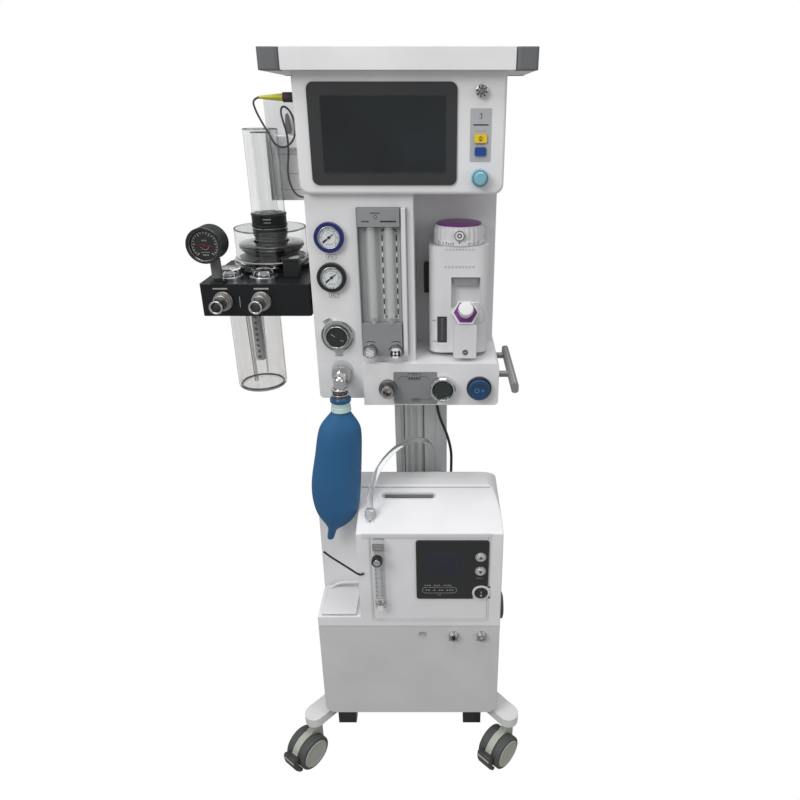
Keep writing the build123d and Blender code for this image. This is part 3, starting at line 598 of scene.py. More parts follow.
# ------------------------------------------------------------------ monitor
KEYS_X = centre("menu_knob").x
tile("display_glass", 36, 1300.6, (194, 112, 2), BEZEL_FACE, 0.3, SCREEN)
frame_ring("display_outline", 36, 1300.6, (196, 114), 3, 1.2, BEZEL_FACE, 0.5, BLACK_GLASS)
tile("key_plate", KEYS_X, 1300, (34, 79, 2), MON_FACE, 0.4, KEY_PLATE)
KEY_PRINT = MON_FACE - 0.4
bars("key_marks", [(KEYS_X - 10.5 + 3 * i, 1315.5, 1.9, 3.6, 90 - 8 * (i % 2)) for i in range(8)]
    + row(5, KEYS_X - 7, 3.5, 1306.5, 2.2, 0.6) + row(5, KEYS_X - 6, 3, 1286.5, 1.8, 0.6), KEY_PRINT,
    0.1, MARKS)
bars("key_icon", [(KEYS_X + 1, 1328.5, 7.5, 1.1, 90), (KEYS_X - 0.6, 1331.5, 3.5, 0.9, 40),
    (KEYS_X - 1.2, 1324.5, 2.8, 0.8, 0)], KEY_PRINT, 0.1, MARKS)
YELLOW_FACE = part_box("yellow_key")[0].y / MM
ring("yellow_key_bell", KEYS_X, 1295.7, 3.2, 2.4, YELLOW_FACE, 0.2, MARKS, "yellow_key")
bars("yellow_key_mark", [(KEYS_X, 1295.7, 4.2, 1, 90), (KEYS_X, 1292.5, 4, 0.8, 0)], YELLOW_FACE, 0.2,
    MARKS, "yellow_key")
POWER_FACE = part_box("power_button")[0].y / MM
POWER_Z = centre("power_button").z
disc("power_button_core", KEYS_X, POWER_Z, 5.2, POWER_FACE, 0.4, DARK_STEEL, "power_button")
bars("power_button_facets", spokes(KEYS_X, POWER_Z, 5.8, 8.8, 2.2,
    (35, 80, 125, 170, 215, 260, 305, 350)), POWER_FACE, 0.3, MARKS, "power_button")
bars("power_button_slot", [(KEYS_X, POWER_Z, 7, 1.2, 35), (KEYS_X, POWER_Z, 7, 1.2, 125)],
    POWER_FACE - 0.4, 0.2, CHROME, "power_button")
MENU = centre("menu_knob")
lathe("menu_knob_skirt", [(14, 0), (14, 10), (12.8, 14.5), (11.8, 15.8), (11.8, 15), (4, 15)],
    (MENU.x, MON_FACE - 0.3, MENU.z), "Y", SKY, "menu_knob", flutes=(20, 0.04, (0, 1)),
    replaces=("menu_knob",))
lathe("menu_knob_cap", [(10.8, 14.5), (10.6, 18), (8.5, 19.6), (0, 19.7)],
    (MENU.x, MON_FACE - 0.3, MENU.z), "Y", PALE_SKY, "menu_knob")

# --------------------------------------------------------- pressure gauges
GAUGE_X = -64
for label, z, ring_finish in (("oxygen", 1139, NAVY), ("air", 1070, BLACK)):
    face_y = PANEL_FACE - 6.6
    disc(f"{label}_dial", GAUGE_X, z, 17.8, PANEL_FACE - 5, 1.6, DIAL_FACE)
    ring(f"{label}_dial_rim", GAUGE_X, z, 19, 17.6, PANEL_FACE - 8.8, 0.8, CHROME)
    ring(f"{label}_case", GAUGE_X, z, 25.6, 18.6, PANEL_FACE - 0.2, 9.2, ring_finish)
    bars(f"{label}_ticks", spokes(GAUGE_X, z, 14.2, 16.2, 0.5, range(-45, 226, 15))
        + spokes(GAUGE_X, z, 12.8, 16.2, 0.9, range(-45, 226, 45)), face_y, 0.1, MARKS)
    arcs(f"{label}_scale", GAUGE_X, z, [(11.8, 12.3, -45, 225)], face_y, 0.1, MARKS)
    bars(f"{label}_dial_print", [(GAUGE_X + dx, z - 11.5, 2.2, 2.8, 80) for dx in (-4.2, 0, 4.2)]
        + [(GAUGE_X, z + 7.5, 6, 0.7, 0)], face_y, 0.1, GREY_MARKS)
    bars(f"{label}_pointer", [(GAUGE_X - 1, z - 0.8, 21, 1.5, 38),
        (GAUGE_X - 7.5, z - 5.8, 8, 2.6, 38)], face_y - 0.2, 0.5, MARKS)
    disc(f"{label}_hub", GAUGE_X, z, 2.2, face_y, 1.6, MARKS)
    label_z = z - 33.5
    frame_ring(f"{label}_label", GAUGE_X + 1, label_z, (17.5, 8.5), 2, 0.5, PANEL_FACE, 0.2, MARKS)
    bars(f"{label}_label_print", [(GAUGE_X - 3, label_z, 5, 1.2, 70),
        (GAUGE_X + 1, label_z, 4, 0.9, 110), (GAUGE_X + 4, label_z - 1, 3, 0.8, 0)], PANEL_FACE, 0.2,
        MARKS)

# ------------------------------------------------- adjustable pressure valve
APL = centre("apl_knob")
APL_FACE = PANEL_FACE - 3
ring("apl_scale_ring", APL.x, APL.z, 30, 22.2, APL_FACE + 2.8, 4, PALE_METAL)
arcs("apl_scale_arcs", APL.x, APL.z, [(26.8, 28.3, 15, 68), (26.8, 28.3, 150, 252),
    (26.8, 28.3, 292, 350)], APL_FACE - 1.1, 0.2, MARKS)
plate("apl_tab_top", APL.x - 16, APL.z + 28.5, [(6, -6), (9, 1), (2, 5.5), (-9, -0.5), (-6, -6)],
    PANEL_FACE, 3, PALE_METAL)
arcs("apl_tab_mark", APL.x - 15.5, APL.z + 28.5, [(2, 2.8, 20, 320)], PANEL_FACE - 3, 0.2, MARKS)
plate("apl_tab_low", APL.x, APL.z - 32.5, [(8, 6), (-8, 6), (-5, -4), (5, -4)], PANEL_FACE, 3,
    PALE_METAL)
bars("apl_print", row(5, APL.x - 6, 3, APL.z - 39.5, 2.2, 2.2, 75), PANEL_FACE, 0.2, GREY_MARKS)
lathe("apl_knob_body", [(21.5, 0), (21.5, 8.5), (20.5, 10.5), (19.2, 10.5), (18.5, 8), (0, 7.4)],
    (APL.x, APL_FACE - 0.3, APL.z), "Y", DARK_FACE, "apl_knob", flutes=(36, 0.025, (0, 1)),
    replaces=("apl_knob",))
ring("apl_knob_rim", APL.x, APL.z, 20.7, 19, APL_FACE - 9.8, 1.2, CHROME, "apl_knob")
bars("apl_knob_arrow", [(APL.x - 7, APL.z + 3, 9, 1.2, -35), (APL.x + 9, APL.z - 7, 6, 1, -15)],
    APL_FACE - 8, 0.4, PALE_METAL, "apl_knob")

# ---------------------------------------------------------------- flowmeter
METER = centre("flowmeter_block")
TUBE_PRINT = -108.2
METER_LOW, METER_HIGH = [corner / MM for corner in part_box("flowmeter_block")]
OXYGEN_X, AIR_X = centre("oxygen_float").x, centre("air_float").x
tile("flowmeter_backing", METER.x, 1072.5, (70, 168, 0.5), -107.4, 0.6, METER_BACK)
tile("flowmeter_border_right", METER_HIGH.x + 6, METER.z, (7.5, 262, 1), PANEL_FACE, 10, WHITE_PLASTIC,
    bevel=0.6)
tile("flowmeter_border_left", METER_LOW.x - 1.2, METER.z, (1.6, 262, 0.5), PANEL_FACE, 10, PLATE_GREY)
bars("flowmeter_edge_line", [(METER_HIGH.x + 11.8, METER.z, 262, 0.9, 90)], PANEL_FACE, 1.6, LIGHT_GREY)
frame_ring("oxygen_tube_outline", OXYGEN_X, 1074.5, (25, 156), 4, 0.9, TUBE_PRINT, 0.4, GREY_MARKS)
dashes = []
for side_x in (AIR_X - 12.2, AIR_X + 12.2):
    for step in range(8):
        dashes.append((side_x, 1137 - 18.5 * step, 10.5, 1.8, 90))
bars("air_tube_dashes", dashes, TUBE_PRINT, 0.5, MARKS)
bars("air_tube_gaps", [(x, z - 9.3, 8, 1.8, 90) for x, z, _, _, _ in dashes], TUBE_PRINT, 0.5,
    WHITE_MARKS)
arcs("air_tube_corners", AIR_X - 8.2, 1147.5, [(3.1, 4.9, 90, 180)], TUBE_PRINT, 0.5, MARKS)
arcs("air_tube_corners_right", AIR_X + 8.2, 1147.5, [(3.1, 4.9, 0, 90)], TUBE_PRINT, 0.5, MARKS)
bars("air_tube_ends", [(AIR_X, 1151.5, 16.4, 1.8, 0), (AIR_X - 9.5, 998.5, 5, 1.8, 0),
    (AIR_X + 9.5, 998.5, 5, 1.8, 0)], TUBE_PRINT, 0.5, MARKS)
for label, x in (("oxygen", OXYGEN_X), ("air", AIR_X)):
    marks = [(x + 1.5, 1008 + 3.6 * i, 4.6 if i % 5 else 7.8, 0.5, 0) for i in range(38)]
    bars(f"{label}_tube_ticks", marks, TUBE_PRINT, 0.2, GREY_MARKS)
    bars(f"{label}_tube_numbers", [(x - 4.2, 1009.5 + 18 * i, 2.2, 1.6, 70) for i in range(8)],
        TUBE_PRINT, 0.2, GREY_MARKS)
    lathe(f"{label}_tube_foot", [(5.2, 0), (5.2, 4), (3.6, 5.5), (0, 5.6)], (x, -115.6, 988.2), "Z",
        DARK_STEEL, steps=24)
    lathe(f"{label}_tube_stop", [(4.8, 0), (4.8, 4.2), (0, 4.4)], (x, -115.6, 1152.6), "Z", BLACK,
        steps=24)
bars("flowmeter_head_print", row(4, METER.x - 27, 3.2, 1166.5, 2.4, 2.2, 75)
    + row(9, METER.x + 4.5, 3, 1166.5, 2.6, 2.6, 75) + row(6, METER.x - 12.5, 2.8, 1180, 2.2, 1.6),
    METER_FACE, 0.2, MARKS)
arcs("flowmeter_head_mark", METER.x - 5, 1173.8, [(2.4, 3.1, 0, CLOSED)], METER_FACE, 0.2, MARKS)
bars("flowmeter_shadow_line", [(METER.x, 1157.1, 70, 0.8, 0)], METER_FACE - 0.02, 0.2, MARKS)
for label, body in (("oxygen", "oxygen_flow_knob"), ("air", "air_flow_knob")):
    spot = centre(body)
    arcs(f"{label}_knob_arrow", spot.x, spot.z, [(16.2, 17.6, 58, 118)], METER_FACE, 0.2, MARKS)
    ring(f"{label}_knob_seat", spot.x, spot.z, 12.5, 5, METER_FACE + 0.4, 0.3 + 0.3, DARK_STEEL)
    lathe(f"{label}_knob_grip", [(10, 0), (11, 2), (11, 15), (9.8, 17.5), (8.6, 17.5), (8.2, 15.5),
        (0, 15)], (spot.x, METER_FACE - 0.3, spot.z), "Y", CHROME, body, flutes=(14, 0.07, (1, 2)),
        replaces=(body,))
oxygen_knob, air_knob = centre("oxygen_flow_knob"), centre("air_flow_knob")
disc("oxygen_knob_face", oxygen_knob.x, oxygen_knob.z, 7.8, METER_FACE - 16, 1.4, WHITE_PLASTIC,
    "oxygen_flow_knob")
bars("oxygen_knob_flutes", spokes(oxygen_knob.x, oxygen_knob.z, 3, 7, 1, range(0, 360, 60)),
    METER_FACE - 17.4, 0.3, GREY_MARKS, "oxygen_flow_knob")
disc("air_knob_face", air_knob.x, air_knob.z, 9.7, METER_FACE - 17, 1.4, WHITE_MARKS, "air_flow_knob")
arcs("air_knob_checks", air_knob.x, air_knob.z, [(0.4, 4.8, 45, 135), (0.4, 4.8, 225, 315),
    (5, 9.5, 135, 225), (5, 9.5, -45, 45)], METER_FACE - 18.4, 0.3, MARKS, "air_flow_knob")

# -------------------------------------------------------------- control bar
ROW_Z = centre("flush_button").z
tile("diagram_plate", 79.5, 864.5, (81, 65, 3), BAR_FACE, 0.6, DIAGRAM_GREY)
DIAGRAM_FACE = BAR_FACE - 0.6
frame_ring("upper_label", 77.5, 888, (24, 13), 2.5, 0.7, DIAGRAM_FACE, 0.2, MARKS)
frame_ring("lower_label", 80, 841, (19, 7.2), 3, 0.6, DIAGRAM_FACE, 0.2, MARKS)
bars("diagram_print", row(5, 69, 4.2, 885, 3.4, 2.6, 75) + row(4, 73.5, 3, 891.5, 2, 1.3)
    + row(4, 75, 3.3, 841, 2.6, 2.2, 75), DIAGRAM_FACE, 0.2, MARKS)
bars("diagram_lines", [(58.8, 888, 12.5, 0.5, 0), (50, 884.5, 9, 0.5, 55), (95, 888, 11, 0.5, 0),
    (103, 884.5, 9, 0.5, -55), (97.5, 841, 16, 0.5, 0), (108.5, 844, 9, 0.5, 42)], DIAGRAM_FACE, 0.2,
    MARKS)
OUTLET_X = MOUNTS["fresh_gas_outlet"].x
ring("outlet_collar", OUTLET_X, ROW_Z, 16.8, 11.3, BAR_FACE, 10.5, DARK_STEEL)
ring("outlet_lip", OUTLET_X, ROW_Z, 11.4, 7.4, BAR_FACE - 25.5, 1.2, STEEL)
lathe("outlet_nut", [(7.2, 0), (7.2, 9), (3, 9.5), (3, 12), (0, 12)], (OUTLET_X, BAR_FACE - 4, ROW_Z),
    "Y", STEEL, steps=6)
SELECTOR = centre("outlet_selector")
lathe("selector_ring", [(24, 0), (24.3, 5), (23.8, 13), (22.2, 15), (19.6, 15), (18.2, 12.8), (17.4, 8),
    (0, 8)], (SELECTOR.x, BAR_FACE - 0.3, SELECTOR.z), "Y", CHROME, "outlet_selector",
    replaces=("outlet_selector",))
lathe("selector_face", [(18, 4.5), (18, 6.2), (15, 3.2), (9, 1.2), (0, 0.6)],
    (SELECTOR.x, BAR_FACE - 7.6, SELECTOR.z), "Y", GREEN_BLACK, "outlet_selector")
bars("selector_line", [(SELECTOR.x + 3, SELECTOR.z + 11, 6, 1.2, 75)], BAR_FACE - 11, 0.4, CHROME,
    "outlet_selector")
FLUSH = centre("flush_button")
FLUSH_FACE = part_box("flush_button")[0].y / MM
ring("flush_surround", FLUSH.x, FLUSH.z, 22.6, 20.2, BAR_FACE - 2.6, 5.6, DEEP_NAVY)
lathe("flush_cap", [(20, 0), (20, 6.8), (18.8, 8.8), (15, 9.5), (14, 8.8), (0, 8.6)],
    (FLUSH.x, FLUSH_FACE + 9.5, FLUSH.z), "Y", BLUE, "flush_button", replaces=("flush_button",))
arcs("flush_mark", FLUSH.x - 4.5, FLUSH.z, [(3.4, 4.3, 0, CLOSED)], FLUSH_FACE + 0.9, 0.2,
    KEY_PRINT_BLUE, "flush_button")
bars("flush_plus", [(FLUSH.x + 6.5, FLUSH.z, 6, 1, 0), (FLUSH.x + 6.5, FLUSH.z, 6, 1, 90)],
    FLUSH_FACE + 0.9, 0.2, KEY_PRINT_BLUE, "flush_button")
tile("elbow_base", -57, 889, (40, 50, 19), PANEL_FACE, 3.5, LIGHT_GREY, bevel=1)
BAG_X, BAG_Y = -57, -150
lathe("elbow_lock_ring", [(13, 0), (17.5, 1), (17.5, 12), (13, 13)], (BAG_X, PANEL_FACE - 4, ELBOW_Z),
    "Y", CHROME, "bag", flutes=(24, 0.03, (1, 2)))
for index, (height, radius) in enumerate(((873.5, 16), (868.5, 14.4), (863.5, 15.8), (858.5, 14.4))):
    lathe(f"elbow_rib_{index}", [(radius - 2, 0), (radius, 0.8), (radius, 3), (radius - 2, 3.8),
        (radius - 4, 3.8), (radius - 4, 0)], (BAG_X, BAG_Y, height), "Z",
        CHROME if index % 2 == 0 else DARK_STEEL, "bag")
lathe("bag_blue_ring", [(15, 0), (19.2, 0.6), (19.2, 5.2), (15, 5.8)], (BAG_X, BAG_Y, 851), "Z",
    KEY_RING_BLUE, "bag")
lathe("bag_collar", [(15, 0), (18.6, 0.6), (18, 8.5), (17.2, 9), (17.6, 18), (15, 18.5)],
    (BAG_X, BAG_Y, 832), "Z", MINT, "bag")

# --------------------------------------------------------------- vaporizer
VAPOR_X, VAPOR_Y = centre("vaporizer_dial").x, centre("vaporizer_dial").y
DIAL_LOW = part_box("vaporizer_dial")[0] / MM
lathe("dial_skirt", [(44, 0), (46, 0.8), (46, 7.6), (45.2, 9), (45.2, 25), (44, 29), (42.5, 31.8),
    (40, 32.7), (39.8, 31.4), (0, 31.2)], (VAPOR_X, VAPOR_Y, DIAL_LOW.z), "Z", WHITE_PLASTIC,
    "vaporizer_dial", steps=168, flutes=(28, 0.045, (3, 4, 5)), replaces=("vaporizer_dial",))
lathe("dial_purple_top", [(40.5, 0), (40, 4), (38, 4.7), (0, 4.7)], (VAPOR_X, VAPOR_Y, DIAL_LOW.z + 31),
    "Z", PURPLE, "vaporizer_dial")
DIAL_FRONT = VAPOR_Y - 46
disc("dial_zero_plate", VAPOR_X, DIAL_LOW.z + 18.8, 9.8, DIAL_FRONT + 2, 3.4, WHITE_PLASTIC,
    "vaporizer_dial")
arcs("dial_zero_outline", VAPOR_X, DIAL_LOW.z + 18.8, [(7.8, 9, 0, CLOSED)], DIAL_FRONT - 1.4, 0.3,
    MARKS, "vaporizer_dial")
arcs("dial_zero", VAPOR_X, DIAL_LOW.z + 18.8, [(2.4, 4, 0, CLOSED)], DIAL_FRONT - 1.4, 0.3, MARKS,
    "vaporizer_dial")
bars("dial_pointer", [(VAPOR_X, DIAL_LOW.z + 8.5, 6, 1.6, 90)], DIAL_FRONT + 0.2, 0.5, MARKS,
    "vaporizer_dial")
points = []
for index, angle in enumerate((-52, -47, -38, -30, -24, -19, -14, 22, 34, 46)):
    turn = radians(angle)
    out_dir = Vector((sin(turn), -cos(turn), 0))
    side_dir = Vector((cos(turn), sin(turn), 0))
    foot = Vector((VAPOR_X, VAPOR_Y, DIAL_LOW.z + 2.2))
    for reach in (45.8, 46.3):
        for sx, sz in ((-1, 0), (1, 0), (1, 1), (-1, 1)):
            points.append(foot + out_dir * reach + side_dir * sx * 1.1
                + Vector((0, 0, sz * (4 if index % 3 else 5.6))))
slabs("dial_scale", points, GREY_MARKS, "vaporizer_dial")
bars("vaporizer_scale", row(9, VAPOR_X - 22, 5.8, 1112.5, 2.8, 1.8), VAPOR_FACE, 0.2, GREY_MARKS)
bars("vaporizer_name_print", row(9, VAPOR_X - 24, 6.2, 1082, 4, 4, 80), VAPOR_FACE, 0.2, FAINT_MARKS)
# Painted shade on the top wall of the filler recess.
plate("recess_wedge_shade", FILLER_X, 1053.5, [(-25.5, 10), (25.5, 10), (19.5, -6.5), (-19.5, -6.5)],
    VAPOR_FACE + 13.5, 9, RECESS_SHADE_GREY)
frame_ring("recess_edge", FILLER_X, 1035, (53, 59), 3, 0.8, VAPOR_FACE, 0.6, WHITE_PLASTIC)
FILLER_SPOT = (FILLER_X, VAPOR_FACE - 10, 998)
lathe("filler_hexagon", [(21.2, 9.5), (21.2, 11.8), (20, 12.8), (0, 12.8)], FILLER_SPOT, "filler",
    PURPLE, steps=6)
lathe("filler_crown", [(10.5, 0), (12, 1), (12, 12), (14, 12.8), (14, 20), (12.5, 23.2), (10, 23.7),
    (0, 23.7)], Vector(FILLER_SPOT) + AXES["filler"][2] * 10.6, "filler", WHITE_PLASTIC, "filler_cap",
    steps=96, flutes=(16, 0.06, (3, 4)), replaces=("filler_cap",))
wire("filler_tether", [(179, -118, 1024), (186, -119, 1027.5), (195, -115, 1024), (202, -108, 1013),
    (205, -99, 1000), (206, -93, 988), (201, -89, 979.5), (193, -87, 979)], 1.4, WHITE_PLASTIC,
    "filler_cap")
tile("filler_block_face", FILLER_X, 952, (41, 64, 3), FILLER_FACE, 1, WHITE_PLASTIC, bevel=0.6)
disc("filler_screw", FILLER_X, 932, 5.2, FILLER_FACE - 0.6, 1.4, DARK_STEEL)
bars("filler_screw_slot", [(FILLER_X, 932, 7, 1.4, 20)], FILLER_FACE - 2, 0.2, LIGHT_GREY)
tile("sight_glass", SIGHT_X, 965.5, (17, 50, 1), VAPOR_FACE + 4.9, 3, SIGHT_DARK, bevel=0.4)
tile("sight_glass_float", SIGHT_X, 965.5, (4.5, 43, 1), VAPOR_FACE + 1.9, 0.4, SHADE_GREY)
bars("sight_line", [(SIGHT_X, 938.5, 20, 1.8, 0)], VAPOR_FACE, 0.6, WHITE_MARKS)
bars("sight_print", [(113.5, 984, 7, 1.4, 0), (113.5, 944, 7, 1.4, 0)], VAPOR_FACE + 0.2, 0.6,
    GREY_MARKS)
tile("vaporizer_lug", 100, 1045, (11, 56, 2), 4, 18, BLACK, bevel=0.8)

# -------------------------------------------------------- breathing circuit
PORT_Z = MOUNTS["inhale_port"].z
for label in ("inhale", "exhale"):
    port_x = MOUNTS[f"{label}_port"].x
    ring(f"{label}_port_base", port_x, PORT_Z, 17.2, 11.2, BLOCK_FACE, 4.5, STEEL)
    lathe(f"{label}_port_knurl", [(11.2, 0), (16.6, 0.4), (16.6, 4.8), (11.2, 5.2)],
        (port_x, BLOCK_FACE - 5, PORT_Z), "Y", STEEL, steps=144, flutes=(36, 0.05, (1, 2)))
    ring(f"{label}_port_step", port_x, PORT_Z, 13.5, 11.2, BLOCK_FACE - 10, 8.5, STEEL)
    ring(f"{label}_port_lip", port_x, PORT_Z, 11.8, 8.8, BLOCK_FACE - 44, 2, CHROME)
    # Painted shade: a black disc at the back of each port's bore.
    disc(f"{label}_port_bore_shade", port_x, PORT_Z, 8.4, BLOCK_FACE - 5, 0.6, MARKS)
bars("port_marks", [(-232, 1024, 19, 1, 88), (-208, 1024, 19, 1, 88)], BLOCK_FACE, 0.2, LIGHT_GREY)
bars("port_print", [(x + 3.8 * i, 1048, 2.6, 3, 82) for x in (-276, -203) for i in range(7)],
    BLOCK_FACE, 0.2, LIGHT_GREY)
for index, valve_x in enumerate((-259, -196)):
    spot = (valve_x, -60)
    lathe(f"valve_ring_{index}", [(19, 0.2), (25.2, 0.2), (25.2, 5.2), (23.5, 6), (21.5, 6),
        (21.5, 5.2), (19, 5.2), (19, 0.2)], (*spot, BLOCK_TOP), "Z", CHROME, steps=72)
    lathe(f"valve_seat_{index}", [(12, 0), (12, 6), (9, 7.2), (9, 1.8), (0, 1.8)], (*spot, 1057.6), "Z",
        CHROME, steps=48)
    lathe(f"valve_disc_{index}", [(11, 0), (11, 1), (0, 1.3)], (*spot, 1065), "Z", LIGHT_GREY, steps=48)
    for arm in range(6):
        angle = radians(60 * arm + 15)
        wire(f"valve_cage_{index}_{arm}", [(spot[0] + radius * cos(angle),
            spot[1] + radius * sin(angle), height) for radius, height in ((17.5, 1058), (17.2, 1068),
            (12, 1071.6), (2, 1072.2))], 0.9, CHROME)
MANO_X, MANO_Z, STALK_X = -275, 1127, -269
MANO_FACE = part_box("manometer")[0].y / MM
ring("manometer_rim", MANO_X, MANO_Z, 30.4, 26.2, MANO_FACE + 1.6, 3, BLACK_GLASS)
ring("manometer_rim_line", MANO_X, MANO_Z, 26.2, 25.2, MANO_FACE + 3, 1.6, STEEL)
disc("manometer_dial", MANO_X, MANO_Z, 25.8, MANO_FACE + 6.2, 1, MARKS)
MANO_DIAL = MANO_FACE + 5.2
arcs("manometer_ring", MANO_X, MANO_Z, [(21.8, 22.3, -50, 230), (7.2, 7.6, 200, 340)], MANO_DIAL, 0.1,
    LIGHT_GREY)
bars("manometer_ticks", spokes(MANO_X, MANO_Z, 18.8, 21.6, 0.6, range(-50, 231, 14))
    + spokes(MANO_X, MANO_Z, 17.2, 21.6, 1, range(-50, 231, 56)), MANO_DIAL, 0.1, WHITE_MARKS)
bars("manometer_print", row(3, MANO_X - 3, 3, MANO_Z + 8, 2.2, 1.2, 80)
    + row(5, MANO_X - 6, 3, MANO_Z - 12, 2, 0.9) + row(3, MANO_X - 3.5, 3.5, MANO_Z - 16.5, 2, 1.8, 80),
    MANO_DIAL, 0.1, LIGHT_GREY)
needle = bars("manometer_pointer", [(MANO_X + 3, MANO_Z - 0.4, 24, 1, 170),
    (MANO_X, MANO_Z, 4, 4, 170)], MANO_DIAL - 0.4, 0.6, RED, "manometer_needle")
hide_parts("manometer_needle")
lathe("manometer_stalk_sleeve", [(8, 0), (9.2, 0.4), (9.2, 33), (8, 33.6)], (STALK_X, STALK_Y, 1066),
    "Z", GREY)
lathe("manometer_stalk_foot", [(8, 0), (13, 0), (13, 4), (10.5, 5), (8, 5)],
    (STALK_X, STALK_Y, BLOCK_TOP), "Z", BLACK)

BELLOWS = centre("bellows")
BX, BY = BELLOWS.x, BELLOWS.y
lathe("bellows_collar_groove", [(32.4, 0), (33.6, 0.6), (33.6, 2.8), (32.4, 3.4)], (BX, BY, 1153.5),
    "Z", BLACK_GLASS)
lathe("bellows_collar_ridge", [(32.4, 0), (33.8, 0.8), (33.8, 3.4), (32.4, 4.2)], (BX, BY, 1133), "Z",
    BLACK)
bars("collar_highlights", [(BX + 4, 1149, 15, 1.2, 0), (BX + 4, 1143, 13, 0.9, 0)], BY - 32.8, 0.8,
    LIGHT_GREY)
for index in range(2):
    lathe(f"bellows_core_rib_{index}", [(29.8, 0), (31.4, 1), (31.4, 3), (29.8, 4)],
        (BX, BY, 1107 + 5.5 * index), "Z", BLACK_GLASS)
lathe("bellows_base_ring", [(68, 0), (73.8, 0), (73.8, 6), (71.5, 8), (68.2, 8), (68, 0)],
    (BX, BY, 1065.2), "Z", CLEAR_TINT, steps=96)
lathe("bellows_base_edge", [(69, 0), (72.2, 0), (72.2, 1.6), (69, 1.6), (69, 0)], (BX, BY, 1073.4), "Z",
    WHITE_PLASTIC, steps=96)
lathe("bellows_skin", [(34.2, 0.4), (60, 0.4), (62.2, 4), (60, 8), (49, 15), (47, 16.5), (49, 18),
    (60, 26), (62.2, 30), (60, 32.8), (34.2, 32.8), (34.2, 0.4)], (BX, BY, 1066), "Z", BLACK_GLASS,
    "bellows_plate", steps=96)
lathe("bellows_top_disc", [(34.2, 0), (61, 0), (62.4, 1.6), (60, 3.6), (42, 5.2), (34.2, 5.2),
    (34.2, 0)], (BX, BY, 1099.2), "Z", BLACK_GLASS, "bellows_plate", steps=96,
    replaces=("bellows_plate",))
lathe("dome_shoulder", [(66, 0), (68.4, 0.6), (68.4, 2.2), (66, 2.8), (66, 0)], (BX, BY, 1128), "Z",
    CLEAR_TINT, steps=96)
lathe("riser_rim", [(28.5, 0), (31.6, 0), (31.8, 2.2), (30, 3.4), (28.5, 3), (28.5, 0)], (BX, BY, 1303),
    "Z", CLEAR_TINT)
lathe("riser_inner_rim", [(16, 0), (18.2, 0), (18.2, 2), (16, 2), (16, 0)], (BX, BY, 1298.5), "Z",
    SHADE_GREY)
lathe("bellows_lug", [(10.5, 0), (13, 1), (13, 7), (10.5, 8.5), (0, 8.8)], (-228, -26, BLOCK_TOP), "Z",
    BLACK, flutes=(10, 0.08, (1, 2)))
tile("bellows_latch", -147, 1072, (28, 32, 2.5), -34, 24, BLACK, bevel=1)
tile("bellows_latch_cap", -147, 1089.5, (31, 4.5, 1.5), -32.5, 27.5, BLACK_GLASS, bevel=0.6)

CANISTER = centre("absorber_canister")
CX, CY = CANISTER.x, CANISTER.y
lathe("canister_collar", [(44, 0), (48.2, 0.4), (48.2, 5.5), (44, 6), (44, 0)], (CX, CY, 991.5), "Z",
    BLACK, "absorber_canister", steps=72)
lathe("canister_foot_line", [(40, 0), (44, 1), (44, 2.6), (40, 3), (40, 0)], (CX, CY, 830), "Z",
    SHADE_GREY, "absorber_canister", steps=72)
wire("canister_leaning_rod", [(-249, -12, 990), (-246, -12, 834)], 2.6, DARK_CLEAR, "absorber_canister")
wire("canister_leaning_rod_line", [(-252.4, -15, 990), (-249.4, -15, 835)], 0.9, GREY,
    "absorber_canister")
wire("canister_side_rod", [(-220.5, -12, 990), (-223, -12, 854)], 1.8, DARK_CLEAR, "absorber_canister")
lathe("canister_granule_tube", [(8.5, 0), (9.5, 2), (9.5, 106), (8.5, 108), (0, 108)], (-233, -13, 882),
    "Z", LIME, "absorber_canister", steps=32)
for index in range(9):
    lathe(f"canister_bead_{index}", [(0, -3), (2.4, -1.8), (3.1, 0), (2.4, 1.8), (0, 3)],
        (-233, -22.8, 890 + 11.5 * index), "Z", GREY, "absorber_canister", steps=12)

# ------------------------------------------------------- rear side housing
REAR_FACE = 80
plate("rear_ledge", -164, 1283, [(-20, 11), (32, 9), (32, -8), (25, -13), (-19, -11)], REAR_FACE, 14,
    WHITE, bevel=2)
plate("rear_hook", -156, 1313, [(0, 19), (3, 15), (5, 2), (6.2, -10), (4, -17), (-4, -17), (-5.8, -10),
    (-4.2, 2), (-2.8, 15)], REAR_FACE - 8, 8, GREY, bevel=1.2)
wire("rear_hook_loop", [(-160, 70, 1304), (-158.5, 69, 1322), (-156, 69, 1333), (-153, 69, 1322),
    (-151.2, 70, 1304)], 1.3, DARK_STEEL)
bars("rear_seams", [(-164, 1260, 52, 1, 0), (-150, 1225, 32, 1, 0), (-156, 1196, 44, 0.8, 0)],
    REAR_FACE, 0.4, GREY_MARKS)
bars("rear_uprights", [(-169, 1230, 56, 0.8, 92), (-143, 1210, 28, 0.8, 90)], REAR_FACE, 0.4,
    LIGHT_GREY)
lathe("sensor_collar", [(6.6, 0), (7.8, 0.6), (7.8, 19), (7, 20.4), (6.6, 20.4), (6.6, 0)],
    (-133, -58, 1356), "X", BROWN, flutes=(16, 0.05, (1, 2)))

